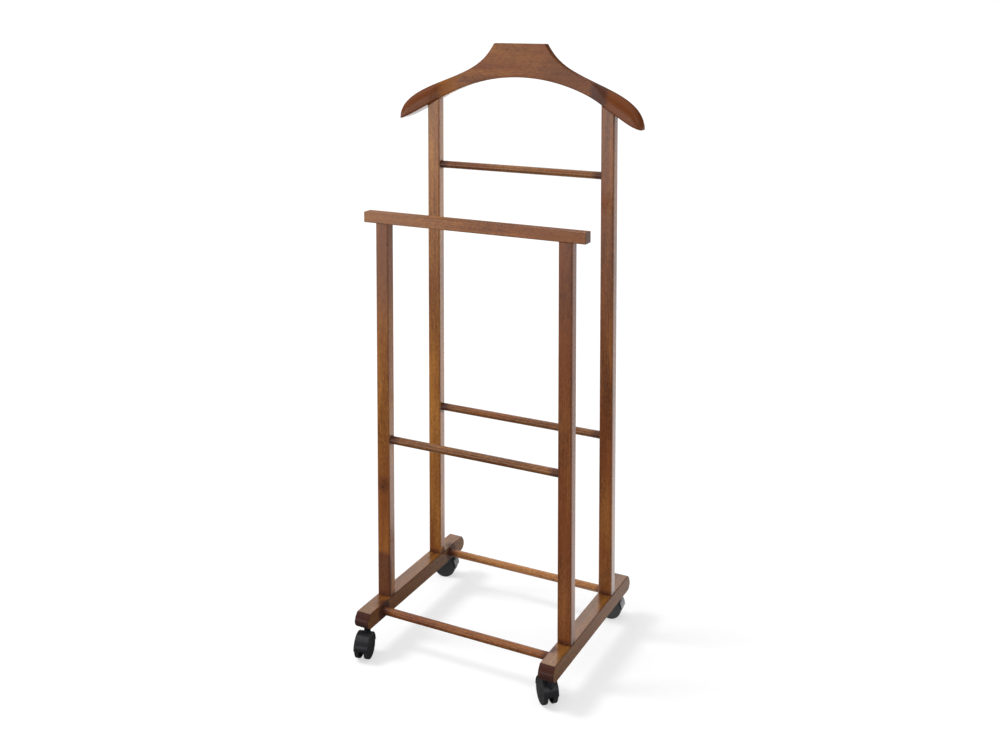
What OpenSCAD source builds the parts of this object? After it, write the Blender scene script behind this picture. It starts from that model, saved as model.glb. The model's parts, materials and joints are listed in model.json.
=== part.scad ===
// Clothes valet stand on four twin-wheel casters, all sizes in millimetres.
// The floor is at z = 0, the front faces -Y and X runs from left to right.

/* [Frame] */
// Distance between the left and right uprights and foot bars, centre to centre
frame_spacing = 332; // [280:1:380]
// Distance of the front and rear uprights from the middle of the stand
upright_offset = 86; // [70:1:100]
// Width of an upright from side to side
upright_width = 24; // [20:0.5:26]
// Depth of an upright from front to back
upright_depth = 18; // [15:0.5:22]
// Radius of an upright's long edges
upright_edge_r = 3; // [1:0.5:4]

/* [Foot bars] */
// Length of a foot bar from front to back
bar_length = 330; // [310:1:380]
// Width of a foot bar
bar_width = 26; // [25:0.5:34]
// Height of a foot bar
bar_height = 26; // [25:0.5:34]
// Radius of a foot bar's long edges
bar_edge_r = 2; // [1:0.5:4]
// Radius to which a foot bar's end faces bow outwards
bar_bow_r = 20.5; // [18:0.5:26]
// Distance of the bow's furthest point below the foot bars' upper face
bar_bow_drop = 17; // [13:0.5:18]
// Radius of the lower corner at a foot bar's ends
bar_end_r = 12; // [6:0.5:12]

/* [Cross dowels] */
// Diameter of the five cross dowels
dowel_d = 13; // [10:0.5:15]
// Depth to which a cross dowel sits in the wood at each end
dowel_socket = 10; // [6:0.5:12]
// Distance of the two base dowels from the middle of the stand
base_dowel_offset = 115; // [108:1:120]
// Height of the front frame's cross dowel above the floor
front_dowel_z = 342; // [280:1:420]
// Height of the rear frame's lower dowel above the floor
rear_lower_dowel_z = 345; // [280:1:420]
// Distance of the rear frame's upper dowel below the hanger's flat top
rear_top_dowel_drop = 218; // [165:1:300]

/* [Top rail] */
// Length of the front frame's top rail
rail_length = 400; // [370:1:440]
// Height of the top rail's section
rail_height = 18; // [17:0.5:24]
// Depth of the top rail's section
rail_depth = 20; // [18:0.5:26]
// Radius of the top rail's long edges
rail_edge_r = 1.5; // [1:0.5:4]
// Height of the top rail's upper face above the floor
rail_top_z = 727; // [640:1:760]

/* [Hanger] */
// Half of the hanger's width
hanger_half = 231; // [225:1:250]
// Height of the hanger's flat top above the floor
hanger_top_z = 1005; // [990:1:1060]
// Half of the flat top's width
crest_half = 48.5; // [40:0.5:56]
// Height of the flat top above the middle of the arch below it
crest_height = 58.5; // [50:0.5:70]
// Distance from the middle to where the arch runs into the straight underside
arch_half = 150; // [140:1:152]
// Rise of the arch over that distance
arch_rise = 39; // [30:1:44]
// Distance from the middle to where the neck runs into the shoulder
neck_end = 120; // [110:1:128]
// Drop of the top line from the flat top to the end of the neck
neck_drop = 56; // [50:0.5:60]
// Slope of the top line where it leaves the flat top
neck_slope = 60; // [45:1:65]
// Slope of the shoulder where the neck ends
shoulder_slope = 22; // [18:1:26]
// Thickness of the board in the middle of the hanger
board_thickness = 15; // [14:0.5:20]
// Thickness of the shoulders
shoulder_thickness = 34; // [30:0.5:44]
// Distance of the middle of the board behind the uprights
board_setback = 5.5; // [0:0.5:8]
// Distance that the shoulder tips sweep forward from the board
shoulder_sweep = 17; // [8:0.5:22]
// Radius of the board's edges in the middle of the hanger
board_edge_r = 1.5; // [1:0.5:2.5]
// Radius of the edges along the underside of the shoulders
under_edge_r = 3; // [1.5:0.5:4]
// Share of the shoulders' height over which their top is rounded
crown_share = 0.75; // [0.5:0.05:0.8]
// Rise of the underside's end above the straight line
tip_lift = 4; // [0:0.5:6]
// Height of the hanger's blunt end
tip_height = 3.7; // [3:0.1:6]

/* [Wood pins and bolts] */
// Diameter of the wooden pins in the rail and hanger joints
pin_d = 8; // [6:0.5:10]
// Depth of a pin in an upright
pin_in_upright = 20; // [14:1:28]
// Depth of a pin in the hanger
pin_in_hanger = 18; // [12:1:22]
// Depth of a pin in the top rail
pin_in_rail = 12; // [8:0.5:13]
// Diameter of the upright bolts
bolt_d = 6; // [5:0.5:7]
// Length of an upright bolt under its head
bolt_length = 50; // [44:1:60]
// Diameter of a bolt's head
bolt_head_d = 10; // [9:0.5:11]
// Height of a bolt's head
bolt_head_h = 6; // [4:0.5:7]
// Width across the flats of the bolt's hexagon socket
bolt_key = 5; // [4:0.5:5]
// Depth of the bolt's hexagon socket
bolt_key_depth = 3.5; // [2:0.5:3.5]
// Diameter of a bolt washer
washer_d = 12; // [11.5:0.5:13]
// Thickness of a bolt washer
washer_t = 1.2; // [0.8:0.1:2]
// Diameter of the threaded insert in an upright's foot
insert_d = 10; // [9:0.5:12]
// Length of the threaded insert
insert_length = 15; // [10:1:18]
// Depth of the threaded insert below the upright's foot
insert_recess = 3; // [2:0.5:6]

/* [Casters] */
// Diameter of a caster wheel
wheel_d = 40; // [36:1:44]
// Width of one caster wheel
wheel_width = 7.5; // [7:0.5:8]
// Radius of a wheel's outer edge
wheel_edge_r = 2; // [1:0.5:2.5]
// Thickness of a wheel's rim and face
wheel_wall = 2.5; // [2:0.1:3]
// Outer diameter of a wheel's hub
hub_d = 12; // [10:0.5:14]
// Diameter of a caster's axle
axle_d = 5; // [4:0.5:6]
// Depth of the axle in a wheel's hub
axle_in_hub = 6; // [4:0.5:6.5]
// Thickness of the web between the two wheels
web_thickness = 8; // [8:0.5:10]
// Gap between the web and a wheel
side_gap = 0.5; // [0.4:0.05:1]
// Width of the hood over both wheels
hood_width = 24; // [23:0.5:26]
// Thickness of the hood's shell
hood_wall = 1.2; // [1:0.1:2]
// Gap between a wheel and the inside of the hood
hood_gap = 0.8; // [0.6:0.1:2]
// Radius of the hood's outer edges
hood_edge_r = 0.8; // [0.4:0.1:1]
// Distance from a caster's stem to its axle
caster_trail = 14; // [12:0.5:15]
// Distance of a caster's stem from the middle of the stand, front to back
stem_offset = 146; // [140:1:148]
// Diameter of the part of the stem that turns in the socket
stem_d = 8; // [7:0.5:9]
// Length of that part of the stem
stem_length = 20; // [16:1:22]
// Diameter of the stem's foot in the hood
stem_foot_d = 5; // [4:0.5:5.5]
// Depth of the stem's foot in the hood
stem_foot_length = 12; // [9:1:14]
// Diameter of the stem's collar
collar_d = 11; // [10:0.5:12]
// Height of the stem's collar
collar_h = 1.5; // [1:0.1:2]
// Diameter of the boss that carries the stem on the hood
boss_d = 11; // [11:0.5:12]
// Outer diameter of the stem socket
socket_d = 11; // [10.5:0.5:13]
// Thickness of the socket's bottom flange
socket_flange_t = 1.5; // [0.8:0.1:2]
// Diameter of the socket's bottom flange
socket_flange_d = 15; // [14:0.5:18]
// Height of the stem boss above the top of the hood
boss_over_hood = 1.5; // [0:0.1:2]
// Width of the stem's grip ring
ring_width = 1.4; // [1:0.1:1.8]
// Distance of the grip ring below the top of the stem
ring_below_top = 4; // [3:0.5:6]
// Direction in which the front left caster trails
front_left_turn = -76; // [-180:1:180]
// Direction in which the front right caster trails
front_right_turn = 134; // [-180:1:180]
// Direction in which the rear left caster trails
rear_left_turn = -168; // [-180:1:180]
// Direction in which the rear right caster trails
rear_right_turn = -174; // [-180:1:180]

/* [Fits] */
// Radial clearance of a glued or bolted piece in its hole
glue_gap = 0.1; // [0.05:0.05:0.2]
// Clearance at the bottom of a blind hole
hole_end_gap = 0.4; // [0.2:0.1:1]
// Radial running clearance of the stem and the axle
running_gap = 0.05; // [0.02:0.01:0.1]
// Gap between the turning collar and the fixed socket flange
turning_gap = 0.5; // [0.3:0.1:0.8]
// Radial clearance of a bolt in the foot bar
bolt_gap = 0.25; // [0.2:0.05:0.5]

/* [Hidden] */
$fn = 64;
eps = 0.01;
far = 2000;

upright_x = frame_spacing / 2;
wheel_r = wheel_d / 2;
hood_inner_r = wheel_r + hood_gap;
hood_outer_r = hood_inner_r + hood_wall;
boss_top_z = wheel_r + hood_outer_r + boss_over_hood;
bar_bottom_z = boss_top_z + collar_h + turning_gap + socket_flange_t;
bar_top_z = bar_bottom_z + bar_height;
bar_mid_z = bar_bottom_z + bar_height / 2;
rail_bottom_z = rail_top_z - rail_height;
rear_top_dowel_z = hanger_top_z - rear_top_dowel_drop;

// Spacing of a cross dowel's end faces inside a pair of bars or uprights
base_dowel_length = frame_spacing - bar_width + 2 * dowel_socket;
frame_dowel_length = frame_spacing - upright_width + 2 * dowel_socket;

// The hanger's underside is an arc that runs on as a straight line.
arch_r = (pow(arch_half, 2) + pow(arch_rise, 2)) / (2 * arch_rise);
arch_top_z = hanger_top_z - crest_height;
arch_end_slope = arch_half / (arch_r - arch_rise);
tip_lift_from = 200;

// The hanger's top line is two curves: neck and shoulder.
neck_end_z = hanger_top_z - neck_drop;
tip_z = hanger_under(hanger_half) + tip_height;
neck_lead = 30;
neck_trail = 42;
shoulder_lead = 60;
shoulder_drop = 39;
shoulder_inset = 4;
neck_curve = [
    [crest_half, hanger_top_z],
    [crest_half + neck_lead * cos(neck_slope), hanger_top_z - neck_lead * sin(neck_slope)],
    [neck_end - neck_trail * cos(shoulder_slope), neck_end_z + neck_trail * sin(shoulder_slope)],
    [neck_end, neck_end_z]
];
shoulder_curve = [
    [neck_end, neck_end_z],
    [neck_end + shoulder_lead * cos(shoulder_slope), neck_end_z - shoulder_lead * sin(shoulder_slope)],
    [hanger_half - shoulder_inset, tip_z + shoulder_drop + tip_height],
    [hanger_half, tip_z]
];
crest_steps = 3;
neck_steps = 7;
shoulder_steps = 20;
corner_steps = 4;
section_points = 2 * (3 * corner_steps + 2);
crown_keep = 0.96;
board_crown = 6;
crown_from = 100;
crown_over = 60;
cove_from = 125;
cove_over = 42;
tip_round = 23;
tip_keep = 0.97;
sweep_from = 100;
sweep_power = 1.8;

// Heights inside a caster, worked out from the wheel up
stem_foot_z = boss_top_z - stem_foot_length;
collar_top_z = boss_top_z + collar_h;
socket_bottom_z = collar_top_z + turning_gap;
stem_top_z = collar_top_z + stem_length;
socket_top_z = stem_top_z + 1;
ring_z = stem_top_z - ring_below_top;
ring_inner_d = stem_d - 1.4;
ring_outer_d = stem_d + 0.8;
ring_seat_gap = 0.25;
axle_length = web_thickness + 2 * (side_gap + axle_in_hub);
axle_boss_d = 11;

// Heights of the bolted joint, worked out from the foot bar's underside up
counterbore_d = washer_d + 1;
counterbore_h = bolt_head_h + washer_t + 1;
bolt_seat_z = bar_bottom_z + counterbore_h;
bolt_head_top_z = bolt_seat_z - washer_t;
bolt_top_z = bolt_head_top_z + bolt_length;

LEFT = -1;
RIGHT = 1;
FRONT = -1;
REAR = 1;

// ---------- shared shapes ----------

// Rectangle with round corners, centred on the origin
module rounded_rect(w, h, r) {
    square([w - 2 * r, h], center = true);
    square([w, h - 2 * r], center = true);
    for (x = [-1, 1], y = [-1, 1]) {
        translate([x * (w / 2 - r), y * (h / 2 - r)])
            circle(r = r);
    }
}

// Cylinder along X, centred on the origin
module cross_cylinder(length, d) {
    rotate([0, 90, 0])
        cylinder(d = d, h = length, center = true);
}

// Upright cylinder between two heights
module post(d, from_z, to_z) {
    translate([0, 0, from_z])
        cylinder(d = d, h = to_z - from_z);
}

// Puts a copy of its child at each of the four uprights
module at_uprights(sides = [FRONT, REAR]) {
    for (x = [LEFT, RIGHT], y = sides) {
        translate([x * upright_x, y * upright_offset, 0])
            children();
    }
}

// ---------- foot bars ----------

// Side view of a foot bar, drawn with its length along the sketch's X
module bar_profile() {
    half = bar_length / 2;
    bow_x = half - bar_bow_r;
    corner_x = half - bar_end_r;
    intersection() {
        union() {
            translate([-bow_x, bar_bottom_z])
                square([2 * bow_x, bar_height]);
            for (end = [-1, 1]) {
                translate([end * bow_x, bar_top_z - bar_bow_drop])
                    circle(r = bar_bow_r);
            }
        }
        union() {
            translate([-half, bar_bottom_z + bar_end_r])
                square([2 * half, bar_height - bar_end_r]);
            translate([-corner_x, bar_bottom_z])
                square([2 * corner_x, bar_height]);
            for (end = [-1, 1]) {
                translate([end * corner_x, bar_bottom_z + bar_end_r])
                    circle(r = bar_end_r);
            }
        }
    }
}

module foot_bar(side) {
    color([0.36, 0.21, 0.13])
        translate([side * upright_x, 0, 0])
            difference() {
                intersection() {
                    rotate([90, 0, 90])
                        linear_extrude(height = bar_width, center = true)
                            bar_profile();
                    translate([0, 0, bar_mid_z])
                        rotate([90, 0, 0])
                            linear_extrude(height = bar_length + 2, center = true)
                                rounded_rect(bar_width, bar_height, bar_edge_r);
                }
                for (y = [FRONT, REAR]) {
                    translate([0, y * upright_offset, 0])
                        bolt_hole();
                    translate([0, y * stem_offset, 0])
                        socket_hole();
                    translate([-side * (bar_width / 2 - dowel_socket - hole_end_gap + far / 2),
                               y * base_dowel_offset, bar_mid_z])
                        cross_cylinder(far, dowel_d + 2 * glue_gap);
                }
            }
}

// Clearance hole for an upright bolt with its counterbore from below
module bolt_hole() {
    post(bolt_d + 2 * bolt_gap, bar_bottom_z - 1, bar_top_z + 1);
    post(counterbore_d, bar_bottom_z - 1, bolt_seat_z);
}

// Blind hole for a caster's stem socket
module socket_hole() {
    post(socket_d + 2 * glue_gap, bar_bottom_z - 1, socket_top_z + hole_end_gap);
}

// ---------- cross dowels ----------

module cross_dowel(length, y, z) {
    color([0.45, 0.25, 0.13])
        translate([0, y, z])
            cross_cylinder(length, dowel_d);
}

// ---------- uprights ----------

module upright_blank(to_z) {
    translate([0, 0, bar_top_z])
        linear_extrude(height = to_z - bar_top_z)
            rounded_rect(upright_width, upright_depth, upright_edge_r);
}

// Hole for the threaded insert, with room for the bolt's tip
module insert_hole() {
    post(insert_d + 2 * glue_gap, bar_top_z - 1, bar_top_z + insert_recess + insert_length);
    post(bolt_d + 2 * bolt_gap, bar_top_z - 1, bolt_top_z + hole_end_gap);
}

// Blind hole for a cross dowel in the upright's inner face
module dowel_hole(side, z) {
    translate([-side * (upright_width / 2 - dowel_socket - hole_end_gap + far / 2), 0, z])
        cross_cylinder(far, dowel_d + 2 * glue_gap);
}

module front_upright(side) {
    color([0.47, 0.27, 0.14])
        translate([side * upright_x, FRONT * upright_offset, 0])
            difference() {
                upright_blank(rail_bottom_z);
                insert_hole();
                dowel_hole(side, front_dowel_z);
                post(pin_d + 2 * glue_gap, rail_bottom_z - pin_in_upright - hole_end_gap,
                     rail_bottom_z + 1);
            }
}

// Everything above the hanger's underside, as a prism along Y
module above_underside(side) {
    low_s = upright_x - upright_width;
    high_s = upright_x + upright_width;
    rotate([90, 0, 0])
        linear_extrude(height = 2 * upright_depth, center = true)
            polygon([
                [side * (low_s - upright_x), hanger_under(low_s)],
                [side * (high_s - upright_x), hanger_under(high_s)],
                [side * (high_s - upright_x), hanger_top_z],
                [side * (low_s - upright_x), hanger_top_z]
            ]);
}

module rear_upright(side) {
    seat_z = hanger_under(upright_x);
    color([0.47, 0.27, 0.14])
        translate([side * upright_x, REAR * upright_offset, 0])
            difference() {
                upright_blank(hanger_top_z - crest_height);
                above_underside(side);
                insert_hole();
                dowel_hole(side, rear_lower_dowel_z);
                dowel_hole(side, rear_top_dowel_z);
                post(pin_d + 2 * glue_gap, seat_z - pin_in_upright - hole_end_gap, hanger_top_z);
            }
}

// ---------- top rail ----------

module top_rail() {
    color([0.5, 0.29, 0.15])
        difference() {
            translate([0, FRONT * upright_offset, rail_top_z - rail_height / 2])
                rotate([90, 0, 90])
                    linear_extrude(height = rail_length, center = true)
                        rounded_rect(rail_depth, rail_height, rail_edge_r);
            at_uprights([FRONT])
                post(pin_d + 2 * glue_gap, rail_bottom_z - 1, rail_bottom_z + pin_in_rail + hole_end_gap);
        }
}

// ---------- hanger ----------

// Rise of the underside above its straight line, close to the tip
function under_rise(s) =
    tip_lift * pow(max(0, (s - tip_lift_from) / (hanger_half - tip_lift_from)), 2);

// Height of the underside at a distance from the middle
function hanger_under(s) =
    s < arch_half
        ? arch_top_z - arch_r + sqrt(pow(arch_r, 2) - pow(s, 2))
        : arch_top_z - arch_rise - (s - arch_half) * arch_end_slope + under_rise(s);

// Point on a cubic curve through four control points
function curve_point(p, t) =
    pow(1 - t, 3) * p[0] + 3 * pow(1 - t, 2) * t * p[1] + 3 * (1 - t) * pow(t, 2) * p[2] + pow(t, 3) * p[3];

// Eases from 0 to 1 as a value passes from one bound to the other
function ease(value, from, over) =
    let (u = max(0, min(1, (value - from) / over)))
        u * u * (3 - 2 * u);

function mix(a, b, u) = a + (b - a) * u;

// Half of the thickness that the coves on both faces leave: the flat board, then a hollow that
// runs up to the shoulder
function cove_half(s) =
    mix(board_thickness, shoulder_thickness, pow(max(0, (s - cove_from) / cove_over), 2)) / 2;

// Half of the shoulder's thickness, less where the tip is round in plan
function shoulder_half(s) =
    let (v = tip_keep * max(0, (s - hanger_half + tip_round) / tip_round))
        shoulder_thickness / 2 * sqrt(1 - pow(v, 2));

// Distance of the board's middle plane in front of the uprights
function board_forward(s) =
    shoulder_sweep * pow(max(0, (s - sweep_from) / (hanger_half - sweep_from)), sweep_power) - board_setback;

// Share of its width that a round edge has at a depth, for an edge that ends at full depth
function edge_share(depth, full_depth) =
    sqrt(1 - pow(1 - min(1, depth / full_depth), 2));

// One section across the hanger: the round shoulder, cut by a cove on either face. The heights
// are close together in the board's upper edge, in the crown and in the lower edge.
function hanger_section(side, s, top) =
    let (
        low = hanger_under(s),
        height = top - low,
        half = shoulder_half(s),
        y_mid = upright_offset - board_forward(s),
        u = ease(s, crown_from, crown_over),
        edge_z = min(board_edge_r, height / 10),
        crown_z = mix(min(board_crown, height / 2), crown_share * height, u),
        under_z = min(mix(board_edge_r, under_edge_r, u), (1 - crown_share) * height / 2),
        under_y = min(under_z, crown_keep * half),
        heights = concat(
            [for (i = [0 : corner_steps]) top - edge_z * (1 - cos(90 * i / corner_steps))],
            [for (i = [1 : corner_steps])
                top - mix(edge_z, crown_z, 1 - cos(90 * i / corner_steps))],
            [for (i = [0 : corner_steps]) low + under_z * (1 - sin(90 * i / corner_steps))]
        ),
        reaches = [for (z = heights)
            min(
                mix(half * (1 - crown_keep), half, edge_share(top - z, crown_z)),
                cove_half(s) - board_edge_r * (1 - edge_share(top - z, edge_z))
            ) - under_y * (1 - edge_share(max(0, z - low), under_z))
        ],
        last = len(heights) - 1
    )
    concat(
        [for (i = [last : -1 : 0]) [side * s, y_mid + reaches[i], heights[i]]],
        [for (i = [0 : last]) [side * s, y_mid - reaches[i], heights[i]]]
    );

// Stations along one half of the top line, from next to the middle to the tip
half_stations = concat(
    [for (i = [1 : crest_steps]) [crest_half * i / crest_steps, hanger_top_z]],
    [for (i = [1 : neck_steps]) curve_point(neck_curve, i / neck_steps)],
    [for (i = [1 : shoulder_steps]) curve_point(shoulder_curve, i / shoulder_steps)]
);
half_count = len(half_stations);
hanger_points = concat(
    [for (i = [half_count - 1 : -1 : 0]) each hanger_section(LEFT, half_stations[i][0], half_stations[i][1])],
    hanger_section(RIGHT, 0, hanger_top_z),
    [for (i = [0 : half_count - 1]) each hanger_section(RIGHT, half_stations[i][0], half_stations[i][1])]
);
station_count = 2 * half_count + 1;

// Triangles between neighbouring sections, then a fan over each end
hanger_faces = concat(
    [for (j = [0 : station_count - 2], i = [0 : section_points - 1])
        let (
            a = j * section_points + i,
            b = j * section_points + (i + 1) % section_points,
            c = a + section_points,
            d = b + section_points
        )
        each [[a, c, b], [b, c, d]]
    ],
    [for (i = [1 : section_points - 2]) [0, i, i + 1]],
    [for (i = [1 : section_points - 2])
        let (last = (station_count - 1) * section_points)
            [last, last + i + 1, last + i]
    ]
);

module hanger() {
    color([0.5, 0.3, 0.19])
        difference() {
            polyhedron(points = hanger_points, faces = hanger_faces);
            at_uprights([REAR])
                post(pin_d + 2 * glue_gap, arch_top_z - 2 * arch_rise - crest_height,
                     hanger_under(upright_x) + pin_in_hanger + hole_end_gap);
        }
}

// ---------- wooden pins, bolts and inserts ----------

module rail_pins() {
    color([0.8, 0.66, 0.46])
        at_uprights([FRONT])
            post(pin_d, rail_bottom_z - pin_in_upright, rail_bottom_z + pin_in_rail);
}

module hanger_pins() {
    seat_z = hanger_under(upright_x);
    color([0.8, 0.66, 0.46])
        at_uprights([REAR])
            post(pin_d, seat_z - pin_in_upright, seat_z + pin_in_hanger);
}

module upright_bolts() {
    color([0.62, 0.63, 0.65])
        at_uprights()
            difference() {
                union() {
                    post(bolt_head_d, bolt_head_top_z - bolt_head_h, bolt_head_top_z);
                    post(bolt_d, bolt_head_top_z - eps, bolt_top_z);
                }
                translate([0, 0, bolt_head_top_z - bolt_head_h - 1])
                    cylinder(d = bolt_key / cos(30), h = bolt_key_depth + 1, $fn = 6);
            }
}

module bolt_washers() {
    color([0.7, 0.7, 0.72])
        at_uprights()
            difference() {
                post(washer_d, bolt_head_top_z, bolt_seat_z);
                post(bolt_d + 2 * bolt_gap, bolt_head_top_z - 1, bolt_seat_z + 1);
            }
}

module threaded_inserts() {
    foot_z = bar_top_z + insert_recess;
    color([0.72, 0.58, 0.3])
        at_uprights()
            difference() {
                post(insert_d, foot_z, foot_z + insert_length);
                post(bolt_d + 2 * running_gap, foot_z - 1, foot_z + insert_length + 1);
            }
}

// ---------- casters ----------
// A caster is drawn with its stem on the Z axis and its axle behind it at +X.

module at_caster(side, end, turn) {
    translate([side * upright_x, end * stem_offset, 0])
        rotate([0, 0, turn])
            children();
}

// Turns a sketch of radius against width into a solid around the axle
module about_axle() {
    translate([caster_trail, 0, wheel_r])
        rotate([90, 0, 0])
            rotate_extrude()
                children();
}

// Cylinder on the axle's line, between two places across the caster
module axle_cylinder(d, from_y, to_y) {
    translate([caster_trail, to_y, wheel_r])
        rotate([90, 0, 0])
            cylinder(d = d, h = to_y - from_y);
}

module caster_socket() {
    color([0.1, 0.1, 0.11])
        difference() {
            union() {
                post(socket_flange_d, socket_bottom_z, bar_bottom_z);
                post(socket_d, socket_bottom_z, socket_top_z);
            }
            post(stem_d + 2 * running_gap, socket_bottom_z - 1, stem_top_z + hole_end_gap);
            post(ring_outer_d + 2 * ring_seat_gap, ring_z - ring_seat_gap,
                 ring_z + ring_width + ring_seat_gap);
        }
}

module caster_stem() {
    color([0.68, 0.69, 0.71])
        difference() {
            union() {
                post(stem_foot_d, stem_foot_z, boss_top_z + eps);
                post(collar_d, boss_top_z, collar_top_z);
                post(stem_d, collar_top_z - eps, stem_top_z);
            }
            difference() {
                post(stem_d + 2, ring_z, ring_z + ring_width);
                post(ring_inner_d - 2 * running_gap, ring_z - 1, ring_z + ring_width + 1);
            }
        }
}

// Split ring that snaps into the socket and keeps the stem from dropping out
module caster_grip_ring() {
    color([0.75, 0.75, 0.77])
        difference() {
            post(ring_outer_d, ring_z + running_gap, ring_z + ring_width - running_gap);
            post(ring_inner_d, ring_z - 1, ring_z + ring_width + 1);
            translate([0, -ring_width / 2, ring_z - 1])
                cube([stem_d, ring_width, ring_width + 2]);
        }
}

// Sketch of the hood's shell: a band with rounded outer edges
module hood_band() {
    half = hood_width / 2;
    translate([hood_inner_r, -half])
        square([hood_wall - hood_edge_r, hood_width]);
    translate([hood_inner_r, -half + hood_edge_r])
        square([hood_wall, hood_width - 2 * hood_edge_r]);
    for (edge = [-1, 1]) {
        intersection() {
            translate([hood_outer_r - hood_edge_r, edge * (half - hood_edge_r)])
                circle(r = hood_edge_r);
            translate([hood_inner_r, -half])
                square([hood_wall, hood_width]);
        }
    }
}

module caster_hood() {
    half_web = web_thickness / 2;
    color([0.07, 0.07, 0.08])
        difference() {
            union() {
                intersection() {
                    union() {
                        about_axle()
                            hood_band();
                        axle_cylinder(2 * hood_inner_r + 2 * eps, -half_web, half_web);
                    }
                    translate([caster_trail, 0, wheel_r + hood_outer_r])
                        cube([4 * hood_outer_r, 2 * hood_width, 2 * hood_outer_r], center = true);
                }
                axle_cylinder(axle_boss_d, -half_web, half_web);
                difference() {
                    post(boss_d, wheel_r + hood_inner_r / 2, boss_top_z);
                    axle_cylinder(2 * hood_inner_r, -hood_width, hood_width);
                }
            }
            axle_cylinder(axle_d + 2 * running_gap, -hood_width, hood_width);
            post(stem_foot_d + 2 * running_gap, stem_foot_z - hole_end_gap, boss_top_z + 1);
        }
}

module caster_axle() {
    color([0.68, 0.69, 0.71])
        axle_cylinder(axle_d, -axle_length / 2, axle_length / 2);
}

// Sketch of a wheel: radius along X, the outer face at the sketch's far Y
module wheel_profile() {
    inside = web_thickness / 2 + side_gap;
    outside = inside + wheel_width;
    bore_r = axle_d / 2 + running_gap;
    bore_end = inside + axle_in_hub + hole_end_gap;
    difference() {
        union() {
            translate([0, inside])
                square([wheel_r, wheel_width - wheel_edge_r]);
            translate([0, inside])
                square([wheel_r - wheel_edge_r, wheel_width]);
            translate([wheel_r - wheel_edge_r, outside - wheel_edge_r])
                circle(r = wheel_edge_r);
        }
        translate([-1, inside - 1])
            square([bore_r + 1, bore_end - inside + 1]);
        translate([hub_d / 2, inside - 1])
            square([wheel_r - wheel_wall - hub_d / 2, wheel_width - wheel_wall + 1]);
        translate([wheel_r - wheel_wall - wheel_edge_r, outside])
            circle(r = wheel_wall / 4);
    }
}

module caster_wheel(side) {
    color([0.12, 0.12, 0.13])
        translate([caster_trail, 0, wheel_r])
            mirror([0, side > 0 ? 1 : 0, 0])
                rotate([90, 0, 0])
                    rotate_extrude()
                        wheel_profile();
}

// ---------- the stand ----------

foot_bar(LEFT);  // left_foot_bar
foot_bar(RIGHT);  // right_foot_bar
cross_dowel(base_dowel_length, FRONT * base_dowel_offset, bar_mid_z);  // front_base_dowel
cross_dowel(base_dowel_length, REAR * base_dowel_offset, bar_mid_z);  // rear_base_dowel
front_upright(LEFT);  // front_left_upright
front_upright(RIGHT);  // front_right_upright
rear_upright(LEFT);  // rear_left_upright
rear_upright(RIGHT);  // rear_right_upright
top_rail();  // front_top_rail
cross_dowel(frame_dowel_length, FRONT * upright_offset, front_dowel_z);  // front_cross_dowel
cross_dowel(frame_dowel_length, REAR * upright_offset, rear_lower_dowel_z);  // rear_lower_dowel
cross_dowel(frame_dowel_length, REAR * upright_offset, rear_top_dowel_z);  // rear_top_dowel
hanger();
rail_pins();
hanger_pins();
upright_bolts();
bolt_washers();
threaded_inserts();

at_caster(LEFT, FRONT, front_left_turn) caster_socket();  // front_left_caster_socket
at_caster(LEFT, FRONT, front_left_turn) caster_stem();  // front_left_caster_stem
at_caster(LEFT, FRONT, front_left_turn) caster_grip_ring();  // front_left_caster_grip_ring
at_caster(LEFT, FRONT, front_left_turn) caster_hood();  // front_left_caster_hood
at_caster(LEFT, FRONT, front_left_turn) caster_axle();  // front_left_caster_axle
at_caster(LEFT, FRONT, front_left_turn) caster_wheel(LEFT);  // front_left_caster_left_wheel
at_caster(LEFT, FRONT, front_left_turn) caster_wheel(RIGHT);  // front_left_caster_right_wheel

at_caster(RIGHT, FRONT, front_right_turn) caster_socket();  // front_right_caster_socket
at_caster(RIGHT, FRONT, front_right_turn) caster_stem();  // front_right_caster_stem
at_caster(RIGHT, FRONT, front_right_turn) caster_grip_ring();  // front_right_caster_grip_ring
at_caster(RIGHT, FRONT, front_right_turn) caster_hood();  // front_right_caster_hood
at_caster(RIGHT, FRONT, front_right_turn) caster_axle();  // front_right_caster_axle
at_caster(RIGHT, FRONT, front_right_turn) caster_wheel(LEFT);  // front_right_caster_left_wheel
at_caster(RIGHT, FRONT, front_right_turn) caster_wheel(RIGHT);  // front_right_caster_right_wheel

at_caster(LEFT, REAR, rear_left_turn) caster_socket();  // rear_left_caster_socket
at_caster(LEFT, REAR, rear_left_turn) caster_stem();  // rear_left_caster_stem
at_caster(LEFT, REAR, rear_left_turn) caster_grip_ring();  // rear_left_caster_grip_ring
at_caster(LEFT, REAR, rear_left_turn) caster_hood();  // rear_left_caster_hood
at_caster(LEFT, REAR, rear_left_turn) caster_axle();  // rear_left_caster_axle
at_caster(LEFT, REAR, rear_left_turn) caster_wheel(LEFT);  // rear_left_caster_left_wheel
at_caster(LEFT, REAR, rear_left_turn) caster_wheel(RIGHT);  // rear_left_caster_right_wheel

at_caster(RIGHT, REAR, rear_right_turn) caster_socket();  // rear_right_caster_socket
at_caster(RIGHT, REAR, rear_right_turn) caster_stem();  // rear_right_caster_stem
at_caster(RIGHT, REAR, rear_right_turn) caster_grip_ring();  // rear_right_caster_grip_ring
at_caster(RIGHT, REAR, rear_right_turn) caster_hood();  // rear_right_caster_hood
at_caster(RIGHT, REAR, rear_right_turn) caster_axle();  // rear_right_caster_axle
at_caster(RIGHT, REAR, rear_right_turn) caster_wheel(LEFT);  // rear_right_caster_left_wheel
at_caster(RIGHT, REAR, rear_right_turn) caster_wheel(RIGHT);  // rear_right_caster_right_wheel
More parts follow.
